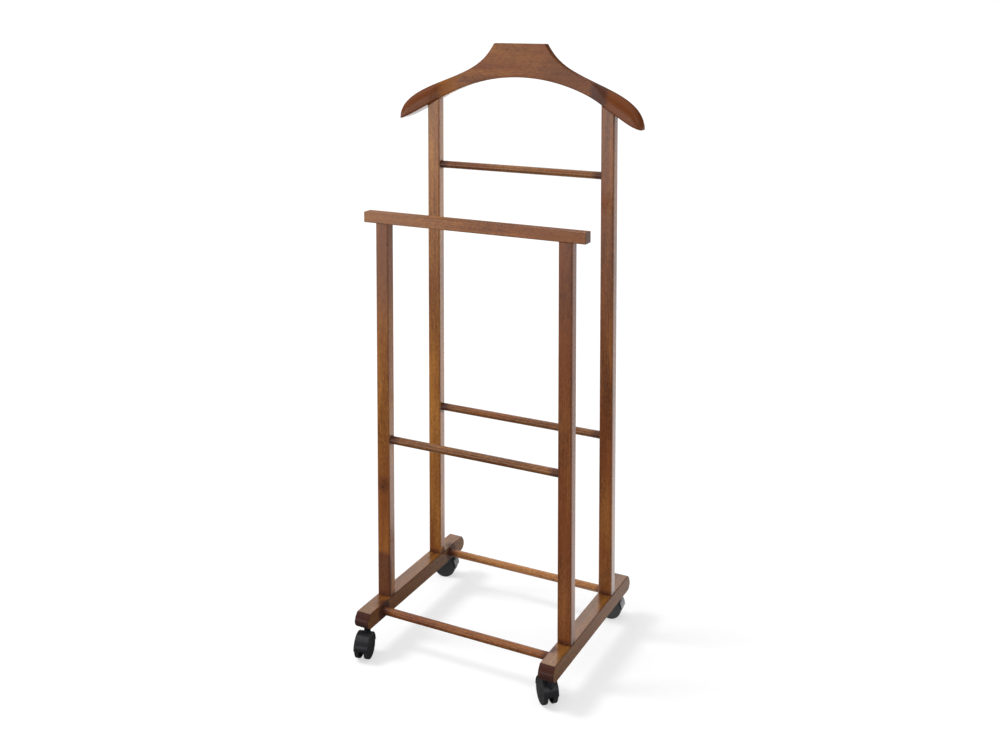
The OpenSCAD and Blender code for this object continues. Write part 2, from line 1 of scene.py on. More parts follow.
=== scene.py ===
"""Finish of a wooden clothes valet stand on four twin-wheel casters.

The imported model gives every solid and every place. This file adds the stained wood, the smooth
hanger, the softened edges, the moulded casters and the plated hardware, then a plain studio.
All sizes are in metres. The floor is at z = 0, the front faces -Y and X runs to the right.
"""

import json
import logging
import math
from dataclasses import dataclass
from enum import Enum
from typing import Any, Callable, Iterable, Sequence, Union

import bmesh
import bpy
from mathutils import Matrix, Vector

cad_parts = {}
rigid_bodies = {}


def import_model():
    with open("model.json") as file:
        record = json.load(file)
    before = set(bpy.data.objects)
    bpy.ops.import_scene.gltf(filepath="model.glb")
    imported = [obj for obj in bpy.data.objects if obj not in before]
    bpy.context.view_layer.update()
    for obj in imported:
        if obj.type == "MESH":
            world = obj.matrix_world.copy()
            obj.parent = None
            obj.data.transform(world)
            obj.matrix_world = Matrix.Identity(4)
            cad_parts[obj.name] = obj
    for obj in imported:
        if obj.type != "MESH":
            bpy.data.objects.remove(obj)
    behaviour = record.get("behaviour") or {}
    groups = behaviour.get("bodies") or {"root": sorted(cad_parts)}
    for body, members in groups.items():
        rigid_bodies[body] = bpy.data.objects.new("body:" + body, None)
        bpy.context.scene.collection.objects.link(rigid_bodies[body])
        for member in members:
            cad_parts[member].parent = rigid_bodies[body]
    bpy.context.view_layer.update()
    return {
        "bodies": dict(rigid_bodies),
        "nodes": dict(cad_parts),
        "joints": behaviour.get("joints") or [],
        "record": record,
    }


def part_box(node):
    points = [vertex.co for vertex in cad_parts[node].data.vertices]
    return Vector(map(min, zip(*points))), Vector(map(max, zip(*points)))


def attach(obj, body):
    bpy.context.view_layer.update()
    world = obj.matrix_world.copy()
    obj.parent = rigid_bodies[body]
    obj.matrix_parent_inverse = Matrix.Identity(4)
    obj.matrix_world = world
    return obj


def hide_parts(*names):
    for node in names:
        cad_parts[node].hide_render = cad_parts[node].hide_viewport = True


log = logging.getLogger("valet_stand")

Colour = tuple[float, float, float]
Point = tuple[float, float, float]
Flat = tuple[float, float]
Placing = Callable[[float, float, float], Point]

MM = 0.001
SIDES = {"left": -1, "right": 1}
UPRIGHT_X = 166.0 * MM
FRAME_Y = 86.0 * MM
STEM_Y = 146.0 * MM


# ---------- node trees ----------


def two_terms(operation: str, swapped: bool = False) -> Callable[["Value", "Number"], "Value"]:
    """Method that adds a Math node for an operation on a value and another term.

    Args:
        operation: The node's operation.
        swapped: Whether the other term comes first.

    Returns:
        The method.
    """

    def method(self: "Value", other: "Number") -> "Value":
        """Result of the operation."""
        return self.graph.maths(operation, *((other, self) if swapped else (self, other)))

    return method


def one_term(operation: str) -> Callable[["Value"], "Value"]:
    """Method that adds a Math node for an operation on a value alone.

    Args:
        operation: The node's operation.

    Returns:
        The method.
    """

    def method(self: "Value") -> "Value":
        """Result of the operation."""
        return self.graph.maths(operation, self)

    return method


class Value:
    """One socket of a node tree that takes Python's operators.

    Every operation on it adds a Math node to the same tree, so that a formula for a shader or for
    a Geometry Nodes tree is written as an expression.
    """

    __add__, __radd__ = two_terms("ADD"), two_terms("ADD", swapped=True)
    __sub__, __rsub__ = two_terms("SUBTRACT"), two_terms("SUBTRACT", swapped=True)
    __mul__, __rmul__ = two_terms("MULTIPLY"), two_terms("MULTIPLY", swapped=True)
    __truediv__, __pow__ = two_terms("DIVIDE"), two_terms("POWER")
    __abs__, root, whole = one_term("ABSOLUTE"), one_term("SQRT"), one_term("FLOOR")
    least, most, wrapped = two_terms("MINIMUM"), two_terms("MAXIMUM"), two_terms("FLOORED_MODULO")
    sine, cosine = one_term("SINE"), one_term("COSINE")

    def __init__(self, graph: "Graph", socket: bpy.types.NodeSocket) -> None:
        """Wraps a socket of a graph."""
        self.graph = graph
        self.socket = socket

    def __neg__(self) -> "Value":
        """Opposite value."""
        return self * -1.0

    def clipped(self) -> "Value":
        """Value held between 0 and 1."""
        return self.graph.ramp(self, 0.0, 1.0, smooth=False)


Number = Union[Value, float, int]


class Made:
    """A node that has been added, whose outputs are read by name."""

    def __init__(self, graph: "Graph", node: bpy.types.Node) -> None:
        """Wraps a node of a graph."""
        self.graph = graph
        self.node = node

    def __getitem__(self, name: Union[str, int]) -> Value:
        """Output socket of that name or number."""
        return Value(self.graph, self.graph.find(self.node.outputs, name))


class Graph:
    """Adds nodes to the tree of a material, the world or a Geometry Nodes group."""

    def __init__(self, tree: bpy.types.NodeTree) -> None:
        """Takes the tree to build in."""
        self.tree = tree

    @staticmethod
    def find(sockets: Any, name: Union[str, int]) -> bpy.types.NodeSocket:
        """Looks a socket up by number, by identifier or else by name."""
        same = [] if isinstance(name, int) else [s for s in sockets if s.identifier == name]
        return same[0] if same else sockets[name]

    def add(self, kind: str, inputs: dict[Union[str, int], Any] | None = None,
            **settings: Any) -> Made:
        """Adds a node, sets it up and feeds its inputs.

        Args:
            kind: The node's type.
            inputs: Values or links of its input sockets.
            settings: Its properties.

        Returns:
            The node.
        """
        node = self.tree.nodes.new(kind)
        for name, setting in settings.items():
            setattr(node, name, setting)
        for name, given in (inputs or {}).items():
            socket = self.find(node.inputs, name)
            if isinstance(given, Value):
                self.tree.links.new(given.socket, socket)
            elif socket.type == "RGBA" and len(given) == 3:
                socket.default_value = (*given, 1.0)
            else:
                socket.default_value = given
        return Made(self, node)

    def maths(self, operation: str, *terms: Number) -> Value:
        """Adds a Math node for one operation on values."""
        return self.add("ShaderNodeMath", dict(enumerate(terms)), operation=operation)[0]

    def vector(self, operation: str, *terms: Any) -> Value:
        """Adds a Vector Math node whose result is a vector."""
        made = self.add("ShaderNodeVectorMath", dict(enumerate(terms)), operation=operation)
        return made["Vector"]

    def length(self, vector: Value) -> Value:
        """Length of a vector."""
        return self.add("ShaderNodeVectorMath", {0: vector}, operation="LENGTH")["Value"]

    def combine(self, x: Number, y: Number, z: Number) -> Value:
        """Vector from three values."""
        return self.add("ShaderNodeCombineXYZ", {"X": x, "Y": y, "Z": z})["Vector"]

    def split(self, vector: Value) -> tuple[Value, Value, Value]:
        """Three values of a vector."""
        made = self.add("ShaderNodeSeparateXYZ", {0: vector})
        return made["X"], made["Y"], made["Z"]

    def ramp(self, value: Number, low: Number, high: Number, to_low: Number = 0.0,
             to_high: Number = 1.0, smooth: bool = True) -> Value:
        """Maps a value from one range to another, held at its ends.

        Args:
            value: What is mapped.
            low: Value that gives to_low.
            high: Value that gives to_high.
            to_low: Result at the low end.
            to_high: Result at the high end.
            smooth: Whether it eases in and out.

        Returns:
            The mapped value.
        """
        inputs = {"Value": value, "From Min": low, "From Max": high,
                  "To Min": to_low, "To Max": to_high}
        kind = "SMOOTHSTEP" if smooth else "LINEAR"
        return self.add("ShaderNodeMapRange", inputs, interpolation_type=kind, clamp=True)["Result"]

    def blend(self, share: Number, a: Any, b: Any) -> Value:
        """Colour between two others, with the share that the second one has."""
        inputs = {"Factor_Float": share, "A_Color": a, "B_Color": b}
        return self.add("ShaderNodeMix", inputs, data_type="RGBA")["Result_Color"]

    def noise(self, vector: Value, scale: float, detail: float, roughness: float = 0.5) -> Value:
        """Value of a noise field from about 0 to 1.

        Args:
            vector: Where it is read.
            scale: Number of features a unit of the vector.
            detail: Number of finer layers.
            roughness: Weight of the finer layers.

        Returns:
            The noise value.
        """
        inputs = {"Vector": vector, "Scale": scale, "Detail": detail, "Roughness": roughness}
        return self.add("ShaderNodeTexNoise", inputs, noise_dimensions="3D")["Fac"]

    def bump(self, height: Value, strength: float, distance: float = 0.1 * MM) -> Value:
        """Normal of a surface with a fine relief."""
        inputs = {"Strength": strength, "Distance": distance, "Height": height}
        return self.add("ShaderNodeBump", inputs)["Normal"]


# ---------- finishes ----------


class GrainAxis(Enum):
    """Direction in which a piece of wood was cut, as the order of its axes with the grain first."""

    ALONG_X = (0, 1, 2)
    ALONG_Y = (1, 0, 2)
    ALONG_Z = (2, 0, 1)


class WoodField(Enum):
    """Noise fields of wood.

    Each has its features a metre along the grain and in both directions across it, its layers,
    the weight of the finer ones and a shift that tells it from the others.
    """

    WANDER = (3.0, 5.0, 5.0, 3.0, 0.50, 0.0)
    DRIFT = (2.2, 5.0, 5.0, 2.0, 0.50, 7.0)
    WOBBLE = (9.0, 60.0, 60.0, 3.0, 0.50, 0.0)
    CLOUDS = (5.0, 16.0, 16.0, 3.0, 0.55, 0.0)
    HUE = (7.0, 30.0, 30.0, 3.0, 0.50, 19.0)
    FIGURE = (4.0, 75.0, 75.0, 4.0, 0.60, 2.0)
    MOTTLE = (170.0, 300.0, 300.0, 2.0, 0.60, 5.0)
    STREAKS = (6.0, 190.0, 190.0, 3.0, 0.60, 0.0)
    FIBRES = (40.0, 1300.0, 1300.0, 3.0, 0.65, 0.0)
    PORES = (260.0, 2300.0, 2300.0, 1.0, 0.50, 3.0)
    FLECKS = (95.0, 420.0, 900.0, 2.0, 0.50, 0.0)

    def read(self, along: Value, across: Value, deep: Value) -> Value:
        """Reads the field at a place in the board.

        Args:
            along: Place along the grain.
            across: Place across it.
            deep: Place across it in the other direction.

        Returns:
            A value from about 0 to 1.
        """
        a_metre, detail, roughness, shift = self.value[:3], *self.value[3:]
        parts = [part * count for part, count in zip((along, across, deep), a_metre)]
        place = along.graph.combine(parts[0], parts[1], parts[2] + shift)
        return along.graph.noise(place, 1.0, detail, roughness)


MEAN_TONE = 0.53
TONE_WEIGHTS = {WoodField.CLOUDS: 1.6, WoodField.FIGURE: 1.7, WoodField.MOTTLE: 1.4,
                WoodField.STREAKS: 0.6, WoodField.FIBRES: 0.6}
LINE_TONE = 0.22


@dataclass(frozen=True)
class StainAndPaintedLightPool:
    """Place with a colour of its own. Most are joints where the stain dried darker; some are
    painted light or painted shade, and some are only darker or paler patches.

    It is full within the inner radius and gone at the outer one, after its stretch.
    """

    centre: Point
    inner: float
    outer: float
    stretch: Point = (1.0, 1.0, 1.0)
    colour: Colour = (0.058, 0.010, 0.004)
    strength: float = 0.8
    matt: float = 0.3


@dataclass(frozen=True)
class Knot:
    """Small dark knot in a board, with the grain bending round it."""

    centre: Point
    radius: float


def new_material(name: str) -> tuple[bpy.types.Material, Graph]:
    """Makes an empty material.

    Args:
        name: The material's name.

    Returns:
        The material and the graph to fill it with.
    """
    material = bpy.data.materials.new(name)
    material.use_nodes = True
    material.node_tree.nodes.clear()
    return material, Graph(material.node_tree)


@dataclass(frozen=True)
class Finish:
    """A material of nodes. Each kind of finish gives the inputs of its shader."""

    name: str

    def inputs(self, graph: Graph) -> dict[str, Any]:
        """Inputs of the Principled shader."""
        raise NotImplementedError

    def build(self) -> bpy.types.Material:
        """Makes the material.

        Returns:
            The material, with its shader and output.
        """
        material, graph = new_material(self.name)
        shader = graph.add("ShaderNodeBsdfPrincipled", self.inputs(graph))
        graph.add("ShaderNodeOutputMaterial", {"Surface": shader["BSDF"]})
        return material


@dataclass(frozen=True)
class StainedWood(Finish):
    """Walnut stain and satin lacquer on beech, with the grain along one axis."""

    grain: GrainAxis
    pale: Colour = (0.440, 0.160, 0.030)
    deep: Colour = (0.165, 0.045, 0.008)
    red: Colour = (0.225, 0.057, 0.013)
    end_colour: Colour = (0.048, 0.010, 0.007)
    line_colour: Colour = (0.034, 0.009, 0.004)
    edge_colour: Colour = (0.058, 0.010, 0.004)
    board_offset: Point = (0.0, 0.0, 0.0)
    pith: Flat = (0.047, 0.021)
    ring_gap: float = 2.6 * MM
    wander: float = 20.0 * MM
    edge_stain: float = 0.5
    end_turn: Flat = (0.25, 0.50)
    roughness: float = 0.27
    ior: float = 1.5
    coat: float = 0.25
    coat_roughness: float = 0.16
    side_matt: float = 0.0
    matt_between: Flat = (0.15, 0.65)
    pools: tuple[StainAndPaintedLightPool, ...] = ()
    knots: tuple[Knot, ...] = ()

    def axes(self, parts: Iterable[Value]) -> list[Value]:
        """Puts the three values of a vector in the grain's order."""
        parts = list(parts)
        return [parts[i] for i in self.grain.value]

    def knot_field(self, graph: Graph, place: Value) -> tuple[Number, Number]:
        """Nearness to the board's knots.

        Args:
            graph: The material's graph.
            place: Object coordinates.

        Returns:
            A wide bump that bends the grain and a narrow dark mark.
        """
        bend: Number = 0.0
        mark: Number = 0.0
        for knot in self.knots:
            away = graph.length(graph.vector("SUBTRACT", place, knot.centre)) / knot.radius
            core = graph.ramp(away, 0.55, 1.15, 1.0, 0.0)
            heart = graph.ramp(away, 0.15, 0.5, 0.45, 0.0)
            bend = graph.ramp(away, 0.5, 6.0, 1.0, 0.0).most(bend)
            mark = (core - heart).most(mark)
        return bend, mark

    def rings(self, graph: Graph, along: Value, u: Value, v: Value) -> Value:
        """Year rings about the pith: each fades in and ends sharply.

        Args:
            graph: The material's graph.
            along: Place along the grain.
            u: Bent place across it.
            v: Bent place across it in the other direction.

        Returns:
            1 in the dark line of a ring and 0 away from it.
        """
        away = ((u - self.pith[0]) ** 2.0 + (v - self.pith[1]) ** 2.0).root() / self.ring_gap
        phase = (away + WoodField.WOBBLE.read(along, u, v) * 0.8).wrapped(1.0)
        return graph.ramp(phase, 0.35, 0.92) * graph.ramp(phase, 0.94, 1.0, 1.0, 0.0)

    def pooled(self, graph: Graph, place: Value, colour: Value) -> tuple[Value, Number]:
        """Colours each pool: stain pooled at a joint, painted light or painted shade, or a darker
        or paler patch.

        Args:
            graph: The material's graph.
            place: Object coordinates.
            colour: The colour without the pools.

        Returns:
            The colour with a cloudy rim round each pool, and how much roughness the pools add.
        """
        matt: Number = 0.0
        rim = graph.noise(place, 260.0, 3.0)
        for pool in self.pools:
            away = graph.vector("SUBTRACT", place, pool.centre)
            distance = graph.length(graph.vector("MULTIPLY", away, pool.stretch))
            near = graph.ramp(distance, pool.inner, pool.outer, 1.0, 0.0)
            share = (near * (0.5 + rim)).clipped() * pool.strength
            colour = graph.blend(share, colour, pool.colour)
            matt = share * pool.matt + matt
        return colour, matt

    def inputs(self, graph: Graph) -> dict[str, Any]:
        """Rings, fibres, pores, cloudy stain, and darker end grain and edges.

        Args:
            graph: The material's graph.

        Returns:
            The inputs by name.
        """
        coordinates = graph.add("ShaderNodeTexCoord")
        place, normal = coordinates["Object"], graph.split(coordinates["Normal"])
        board = self.axes(graph.split(graph.vector("ADD", place, self.board_offset)))
        along, across, deep = board
        bend, mark = self.knot_field(graph, place)
        u = across + (WoodField.WANDER.read(*board) - 0.5) * self.wander + bend * (3.0 * MM)
        v = deep + (WoodField.DRIFT.read(*board) - 0.5) * self.wander + bend * (4.0 * MM)
        ring = self.rings(graph, along, u, v)
        grain = (along, u, v)
        read = {kind: kind.read(*(board if kind is WoodField.CLOUDS else grain))
                for kind in TONE_WEIGHTS}
        clouds, streaks, fibres = (
            read[kind] for kind in (WoodField.CLOUDS, WoodField.STREAKS, WoodField.FIBRES))
        pores = graph.ramp(WoodField.PORES.read(*grain), 0.62, 0.72)
        flecks = graph.ramp(WoodField.FLECKS.read(*grain), 0.60, 0.70)

        tone = MEAN_TONE - (ring + flecks) * LINE_TONE
        for kind, weight in TONE_WEIGHTS.items():
            tone = tone + (read[kind] - 0.5) * weight
        colour = graph.blend(tone.clipped(), self.deep, self.pale)
        hue = graph.ramp(WoodField.HUE.read(*board), 0.42, 0.68)
        colour = graph.blend(hue * 0.55, colour, self.red)
        colour = graph.blend(pores * 0.55, colour, self.line_colour)

        facing = self.axes(abs(part) for part in normal)
        end_face = graph.ramp(facing[0], *self.end_turn)
        end_lines = (ring * 0.75 + pores * 0.5).clipped()
        end_tone = graph.blend(end_lines, self.end_colour, self.line_colour)
        end_tone = graph.blend(graph.ramp(clouds, 0.35, 0.7) * 0.3, end_tone, self.deep)
        colour = graph.blend(end_face, colour, end_tone)

        turned = facing[1] * facing[2] + facing[0] * (facing[1] + facing[2])
        worn = graph.ramp(clouds + streaks * 0.5, 0.45, 0.85, 0.6, 1.0)
        edge = graph.ramp(turned, 0.10, 0.42) * worn * self.edge_stain
        colour = graph.blend(edge, colour, self.edge_colour)
        colour = graph.blend(mark * 0.85, colour, self.line_colour)
        colour, matt = self.pooled(graph, place, colour)

        height = graph.split(place)[2]
        matt = matt + abs(normal[0]) * graph.ramp(height, *self.matt_between) * self.side_matt
        rough = (streaks - 0.5) * 0.10 + pores * 0.18 + end_face * 0.55 + flecks * 0.05
        relief = fibres * 0.6 - pores * 0.9 - ring * 0.12 + streaks * 0.15
        return {
            "Base Color": colour,
            "Roughness": rough + matt + self.roughness,
            "Normal": graph.bump(relief, 0.25, 0.2 * MM),
            "IOR": self.ior,
            "Coat Weight": self.coat,
            "Coat Roughness": self.coat_roughness,
        }


@dataclass(frozen=True)
class BareBeech(Finish):
    """Unstained beech of the joint pins, with fibres and pores along Z."""

    name: str = "bare_beech"
    pale: Colour = (0.66, 0.47, 0.27)
    deep: Colour = (0.45, 0.29, 0.15)

    def inputs(self, graph: Graph) -> dict[str, Any]:
        """Bands of colour under fine fibres.

        Args:
            graph: The material's graph.

        Returns:
            The inputs by name.
        """
        x, y, z = graph.split(graph.add("ShaderNodeTexCoord")["Object"])
        fibres = graph.noise(graph.combine(x * 1100.0, y * 1100.0, z * 45.0), 1.0, 3.0, 0.6)
        bands = graph.noise(graph.combine(x * 220.0, y * 220.0, z * 9.0), 1.0, 2.0)
        return {
            "Base Color": graph.blend((bands * 0.7 + fibres * 0.4).clipped(), self.deep, self.pale),
            "Roughness": 0.6 + fibres * 0.15,
            "Normal": graph.bump(fibres, 0.3, 0.2 * MM),
        }


@dataclass(frozen=True)
class MouldedPlastic(Finish):
    """Injection-moulded plastic with a fine texture, scuffs and a little dust."""

    colour: Colour
    scuff_colour: Colour
    roughness: float
    scuffs: float = 0.3
    dust: float = 0.12
    dust_colour: Colour = (0.30, 0.28, 0.26)
    grain_scale: float = 2600.0
    relief: float = 0.2

    def inputs(self, graph: Graph) -> dict[str, Any]:
        """Clouded colour, scrapes, and dust on what faces up.

        Args:
            graph: The material's graph.

        Returns:
            The inputs by name.
        """
        coordinates = graph.add("ShaderNodeTexCoord")
        place = coordinates["Object"]
        grain = graph.noise(place, self.grain_scale, 2.0, 0.6)
        cloud = graph.noise(place, 55.0, 3.0, 0.6)
        scrape = graph.noise(graph.vector("MULTIPLY", place, (900.0, 900.0, 140.0)), 1.0, 3.0, 0.7)
        scuffed = graph.ramp(scrape, 0.58, 0.74) * graph.ramp(cloud, 0.45, 0.65) * self.scuffs
        up = graph.ramp(graph.split(coordinates["Normal"])[2], 0.2, 1.0)
        dusty = up * graph.ramp(cloud, 0.30, 0.75) * self.dust
        clouded = graph.ramp(cloud, 0.3, 0.7) * 0.35
        colour = graph.blend(clouded, self.colour, self.scuff_colour)
        colour = graph.blend(scuffed, colour, self.scuff_colour)
        rough = self.roughness + (grain - 0.5) * 0.12 + scuffed * 0.3 + dusty * 0.6
        return {
            "Base Color": graph.blend(dusty, colour, self.dust_colour),
            "Roughness": rough.clipped(),
            "Normal": graph.bump(grain + scuffed * 0.6, self.relief),
            "IOR": 1.5,
        }


@dataclass(frozen=True)
class PlatedMetal(Finish):
    """Plated or turned metal with fine marks round its axis and dull patches."""

    colour: Colour
    dull_colour: Colour
    roughness: float = 0.28

    def inputs(self, graph: Graph) -> dict[str, Any]:
        """Metal with turning marks across Z.

        Args:
            graph: The material's graph.

        Returns:
            The inputs by name.
        """
        place = graph.add("ShaderNodeTexCoord")["Object"]
        marks = graph.noise(graph.vector("MULTIPLY", place, (300.0, 300.0, 5200.0)), 1.0, 3.0, 0.6)
        dull = graph.ramp(graph.noise(place, 420.0, 3.0, 0.6), 0.42, 0.68)
        return {
            "Base Color": graph.blend(dull * 0.7, self.colour, self.dull_colour),
            "Metallic": 1.0,
            "Roughness": self.roughness + (marks - 0.5) * 0.12 + dull * 0.12,
            "Normal": graph.bump(marks, 0.15),
        }


# ---------- meshes ----------


def linked(name: str, data: Any) -> bpy.types.Object:
    """Puts a new object into the scene.

    Args:
        name: Its name.
        data: Its mesh, camera or light.

    Returns:
        The object.
    """
    obj = bpy.data.objects.new(name, data)
    bpy.context.scene.collection.objects.link(obj)
    return obj


def discard(obj: bpy.types.Object) -> None:
    """Removes a helper object and its mesh.

    Args:
        obj: The object.
    """
    data = obj.data
    bpy.data.objects.remove(obj)
    bpy.data.meshes.remove(data)


def as_object(name: str, mesh: bmesh.types.BMesh, material: bpy.types.Material,
              sharp_angle: float = 32.0, close_holes: bool = False) -> bpy.types.Object:
    """Turns a bmesh into a smooth object with outward faces.

    Args:
        name: The piece's name.
        mesh: What it is made of. It is freed.
        material: Its finish.
        sharp_angle: Edges that turn by more degrees than this stay sharp.
        close_holes: Whether open ends get a face.

    Returns:
        The new object, at the origin.
    """
    bmesh.ops.remove_doubles(mesh, verts=mesh.verts, dist=1e-7)
    if close_holes:
        rims = [edge for edge in mesh.edges if edge.is_boundary]
        bmesh.ops.holes_fill(mesh, edges=rims, sides=0)
    bmesh.ops.recalc_face_normals(mesh, faces=mesh.faces)
    data = bpy.data.meshes.new(name)
    mesh.to_mesh(data)
    mesh.free()
    data.materials.append(material)
    data.polygons.foreach_set("use_smooth", [True] * len(data.polygons))
    data.set_sharp_from_angle(angle=math.radians(sharp_angle))
    return linked(name, data)


def arc(centre: Flat, radius: float, start: float, end: float, steps: int) -> list[Flat]:
    """Points on an arc, both ends included, with angles in degrees."""
    turns = [math.radians(start + (end - start) * i / steps) for i in range(steps + 1)]
    return [(centre[0] + radius * math.cos(t), centre[1] + radius * math.sin(t)) for t in turns]


def rounded_outline(width: float, height: float, radius: float, steps: int = 8) -> list[Flat]:
    """Outline of a rectangle with round corners, centred on the origin.

    Args:
        width: Its size across.
        height: Its size upwards.
        radius: Radius of its corners.
        steps: Facets of each corner.

    Returns:
        Points in anticlockwise order.
    """
    x, y = width / 2 - radius, height / 2 - radius
    points: list[Flat] = []
    for corner, (sx, sy) in enumerate([(1, 1), (-1, 1), (-1, -1), (1, -1)]):
        points += arc((sx * x, sy * y), radius, 90.0 * corner, 90.0 * (corner + 1), steps)
    return points


def inset(outline: Sequence[Flat], amount: float) -> list[Flat]:
    """Moves a convex outline inwards.

    Args:
        outline: Points in anticlockwise order.
        amount: Distance that each side moves.

    Returns:
        As many points, on the shifted sides.
    """
    moved: list[Flat] = []
    for i, here in enumerate(outline):
        before, after = outline[i - 1], outline[(i + 1) % len(outline)]
        a = Vector((here[0] - before[0], here[1] - before[1])).normalized()
        b = Vector((after[0] - here[0], after[1] - here[1])).normalized()
        normal = Vector((-a.y - b.y, a.x + b.x)).normalized()
        reach = amount / max(0.3, normal.dot(Vector((-a.y, a.x))))
        moved.append((here[0] + normal.x * reach, here[1] + normal.y * reach))
    return moved


def slab(outline: Sequence[Flat], low: float, high: float, edge: float, placed: Placing,
         steps: int = 5) -> bmesh.types.BMesh:
    """Solid between two flat faces, with rounded edges round both.

    Args:
        outline: Convex outline of its section, anticlockwise.
        low: Where the first face lies.
        high: Where the second face lies.
        edge: Radius of the edges.
        placed: Turns (across, up, along) into a point of the frame.
        steps: Facets of each rounded edge.

    Returns:
        The closed solid.
    """
    turns = [math.pi / 2 * i / steps for i in range(steps, -1, -1)]
    layers = [(low + edge * (1 - math.sin(t)), edge * (1 - math.cos(t))) for t in turns]
    layers += [(low + high - along, depth) for along, depth in reversed(layers)]
    mesh = bmesh.new()
    loops = []
    for along, depth in layers:
        loop = inset(outline, depth) if depth > 0 else outline
        loops.append([mesh.verts.new(placed(x, y, along)) for x, y in loop])
    for lower, upper in zip(loops, loops[1:]):
        for i, vertex in enumerate(lower):
            after = (i + 1) % len(lower)
            mesh.faces.new((vertex, lower[after], upper[after], upper[i]))
    mesh.faces.new(loops[0][::-1])
    mesh.faces.new(loops[-1])
    return mesh


def on_z(a: float, b: float, along: float) -> Point:
    """Placing function for a part turned on the Z axis."""
    return (a, b, along)


def lathe(profile: Sequence[Flat], placed: Placing, segments: int) -> bmesh.types.BMesh:
    """Turns a closed profile of (radius, along) round an axis.

    Args:
        profile: The section, in order. A radius of 0 lies on the axis.
        placed: Turns (radius * cos, radius * sin, along) into a point of the frame.
        segments: Facets round the turn.

    Returns:
        The closed solid.
    """
    mesh = bmesh.new()
    loops = []
    for i in range(segments):
        turn = math.radians(360.0 * i / segments)
        loops.append([mesh.verts.new(placed(r * math.cos(turn), r * math.sin(turn), along))
                      for r, along in profile])
    for first, second in zip(loops, loops[1:] + loops[:1]):
        for i in range(len(profile)):
            j = (i + 1) % len(profile)
            off_axis = [k for k in (j, i) if profile[k][0] > 0]
            if off_axis:
                mesh.faces.new([first[i], first[j]] + [second[k] for k in off_axis])
    return mesh


def apply_modifiers(obj: bpy.types.Object) -> None:
    """Replaces an object's mesh by the result of its modifiers, which are removed.

    Args:
        obj: The object.
    """
    bpy.context.view_layer.update()
    evaluated = obj.evaluated_get(bpy.context.evaluated_depsgraph_get())
    data = bpy.data.meshes.new_from_object(evaluated)
    data.name = obj.name
    obj.modifiers.clear()
    old, obj.data = obj.data, data
    bpy.data.meshes.remove(old)


def cut(obj: bpy.types.Object, cutters: Sequence[bpy.types.Object]) -> None:
    """Cuts the cutters out of an object and removes them.

    Args:
        obj: What is cut.
        cutters: Closed objects that overlap it.
    """
    for cutter in cutters:
        tool = obj.modifiers.new("cut", "BOOLEAN")
        tool.operation = "DIFFERENCE"
        tool.solver = "EXACT"
        tool.object = cutter
    apply_modifiers(obj)
    for cutter in cutters:
        discard(cutter)


def level(obj: bpy.types.Object) -> None:
    """Weights an object's normals by area, so that flat faces look flat up to their soft edges.

    Args:
        obj: The object.
    """
    weights = obj.modifiers.new("level", "WEIGHTED_NORMAL")
    weights.mode = "FACE_AREA"
    weights.weight = 100
    weights.keep_sharp = True
    apply_modifiers(obj)


# ---------- Geometry Nodes ----------


class GeometryTree:
    """A Geometry Nodes group with named sizes, built once and used for one or more pieces."""

    def __init__(self, name: str, sizes: dict[str, float]) -> None:
        """Starts a group.

        Args:
            name: The group's name.
            sizes: Its inputs, each with a value.
        """
        self.tree = bpy.data.node_groups.new(name, "GeometryNodeTree")
        self.graph = Graph(self.tree)
        faces = self.tree.interface
        faces.new_socket("Geometry", in_out="OUTPUT", socket_type="NodeSocketGeometry")
        for size in sizes:
            faces.new_socket(size, in_out="INPUT", socket_type="NodeSocketFloat")
        self.sizes = sizes
        self.size = self.graph.add("NodeGroupInput")

    def close(self, geometry: Value, material: bpy.types.Material) -> None:
        """Ends the tree: real geometry with its finish.

        Args:
            geometry: What the tree has made.
            material: Its finish.
        """
        add = self.graph.add
        real = add("GeometryNodeRealizeInstances", {"Geometry": geometry})["Geometry"]
        dressed = add("GeometryNodeSetMaterial", {"Geometry": real, "Material": material})
        add("NodeGroupOutput", {"Geometry": dressed["Geometry"]})

    def make(self, name: str, material: bpy.types.Material, sharp_angle: float = 32.0,
             **sizes: float) -> bpy.types.Object:
        """Runs the tree and keeps the result as a plain mesh.

        Args:
            name: The piece's name.
            material: Its finish.
            sharp_angle: Edges that turn by more degrees than this stay sharp.
            sizes: Inputs that differ from the group's own values.

        Returns:
            The new object, without a modifier.
        """
        carrier = linked(name, bpy.data.meshes.new(name))
        modifier = carrier.modifiers.new("shape", "NODES")
        modifier.node_group = self.tree
        for item in self.tree.interface.items_tree:
            if item.in_out == "INPUT":
                modifier[item.identifier] = float({**self.sizes, **sizes}[item.name])
        apply_modifiers(carrier)
        mesh = bmesh.new()
        mesh.from_mesh(carrier.data)
        discard(carrier)
        return as_object(name, mesh, material, sharp_angle, close_holes=True)


# ---------- the wooden frame ----------


def dress(nodes: dict[str, bpy.types.Object], name: str, material: bpy.types.Material) -> None:
    """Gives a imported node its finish.

    Args:
        nodes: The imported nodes.
        name: The node's name.
        material: Its finish.
    """
    data = nodes[name].data
    data.materials.clear()
    data.materials.append(material)
    log.info("%s: %s", name, material.name)


def stand_in(obj: bpy.types.Object, body: str, slot: str, *nodes: str) -> None:
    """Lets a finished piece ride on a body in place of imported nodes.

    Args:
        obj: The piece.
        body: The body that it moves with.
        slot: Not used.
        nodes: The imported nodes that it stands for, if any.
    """
    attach(obj, body)
    if nodes:
        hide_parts(*nodes)
    log.info("%s: %d faces, on %s", obj.name, len(obj.data.polygons), body)


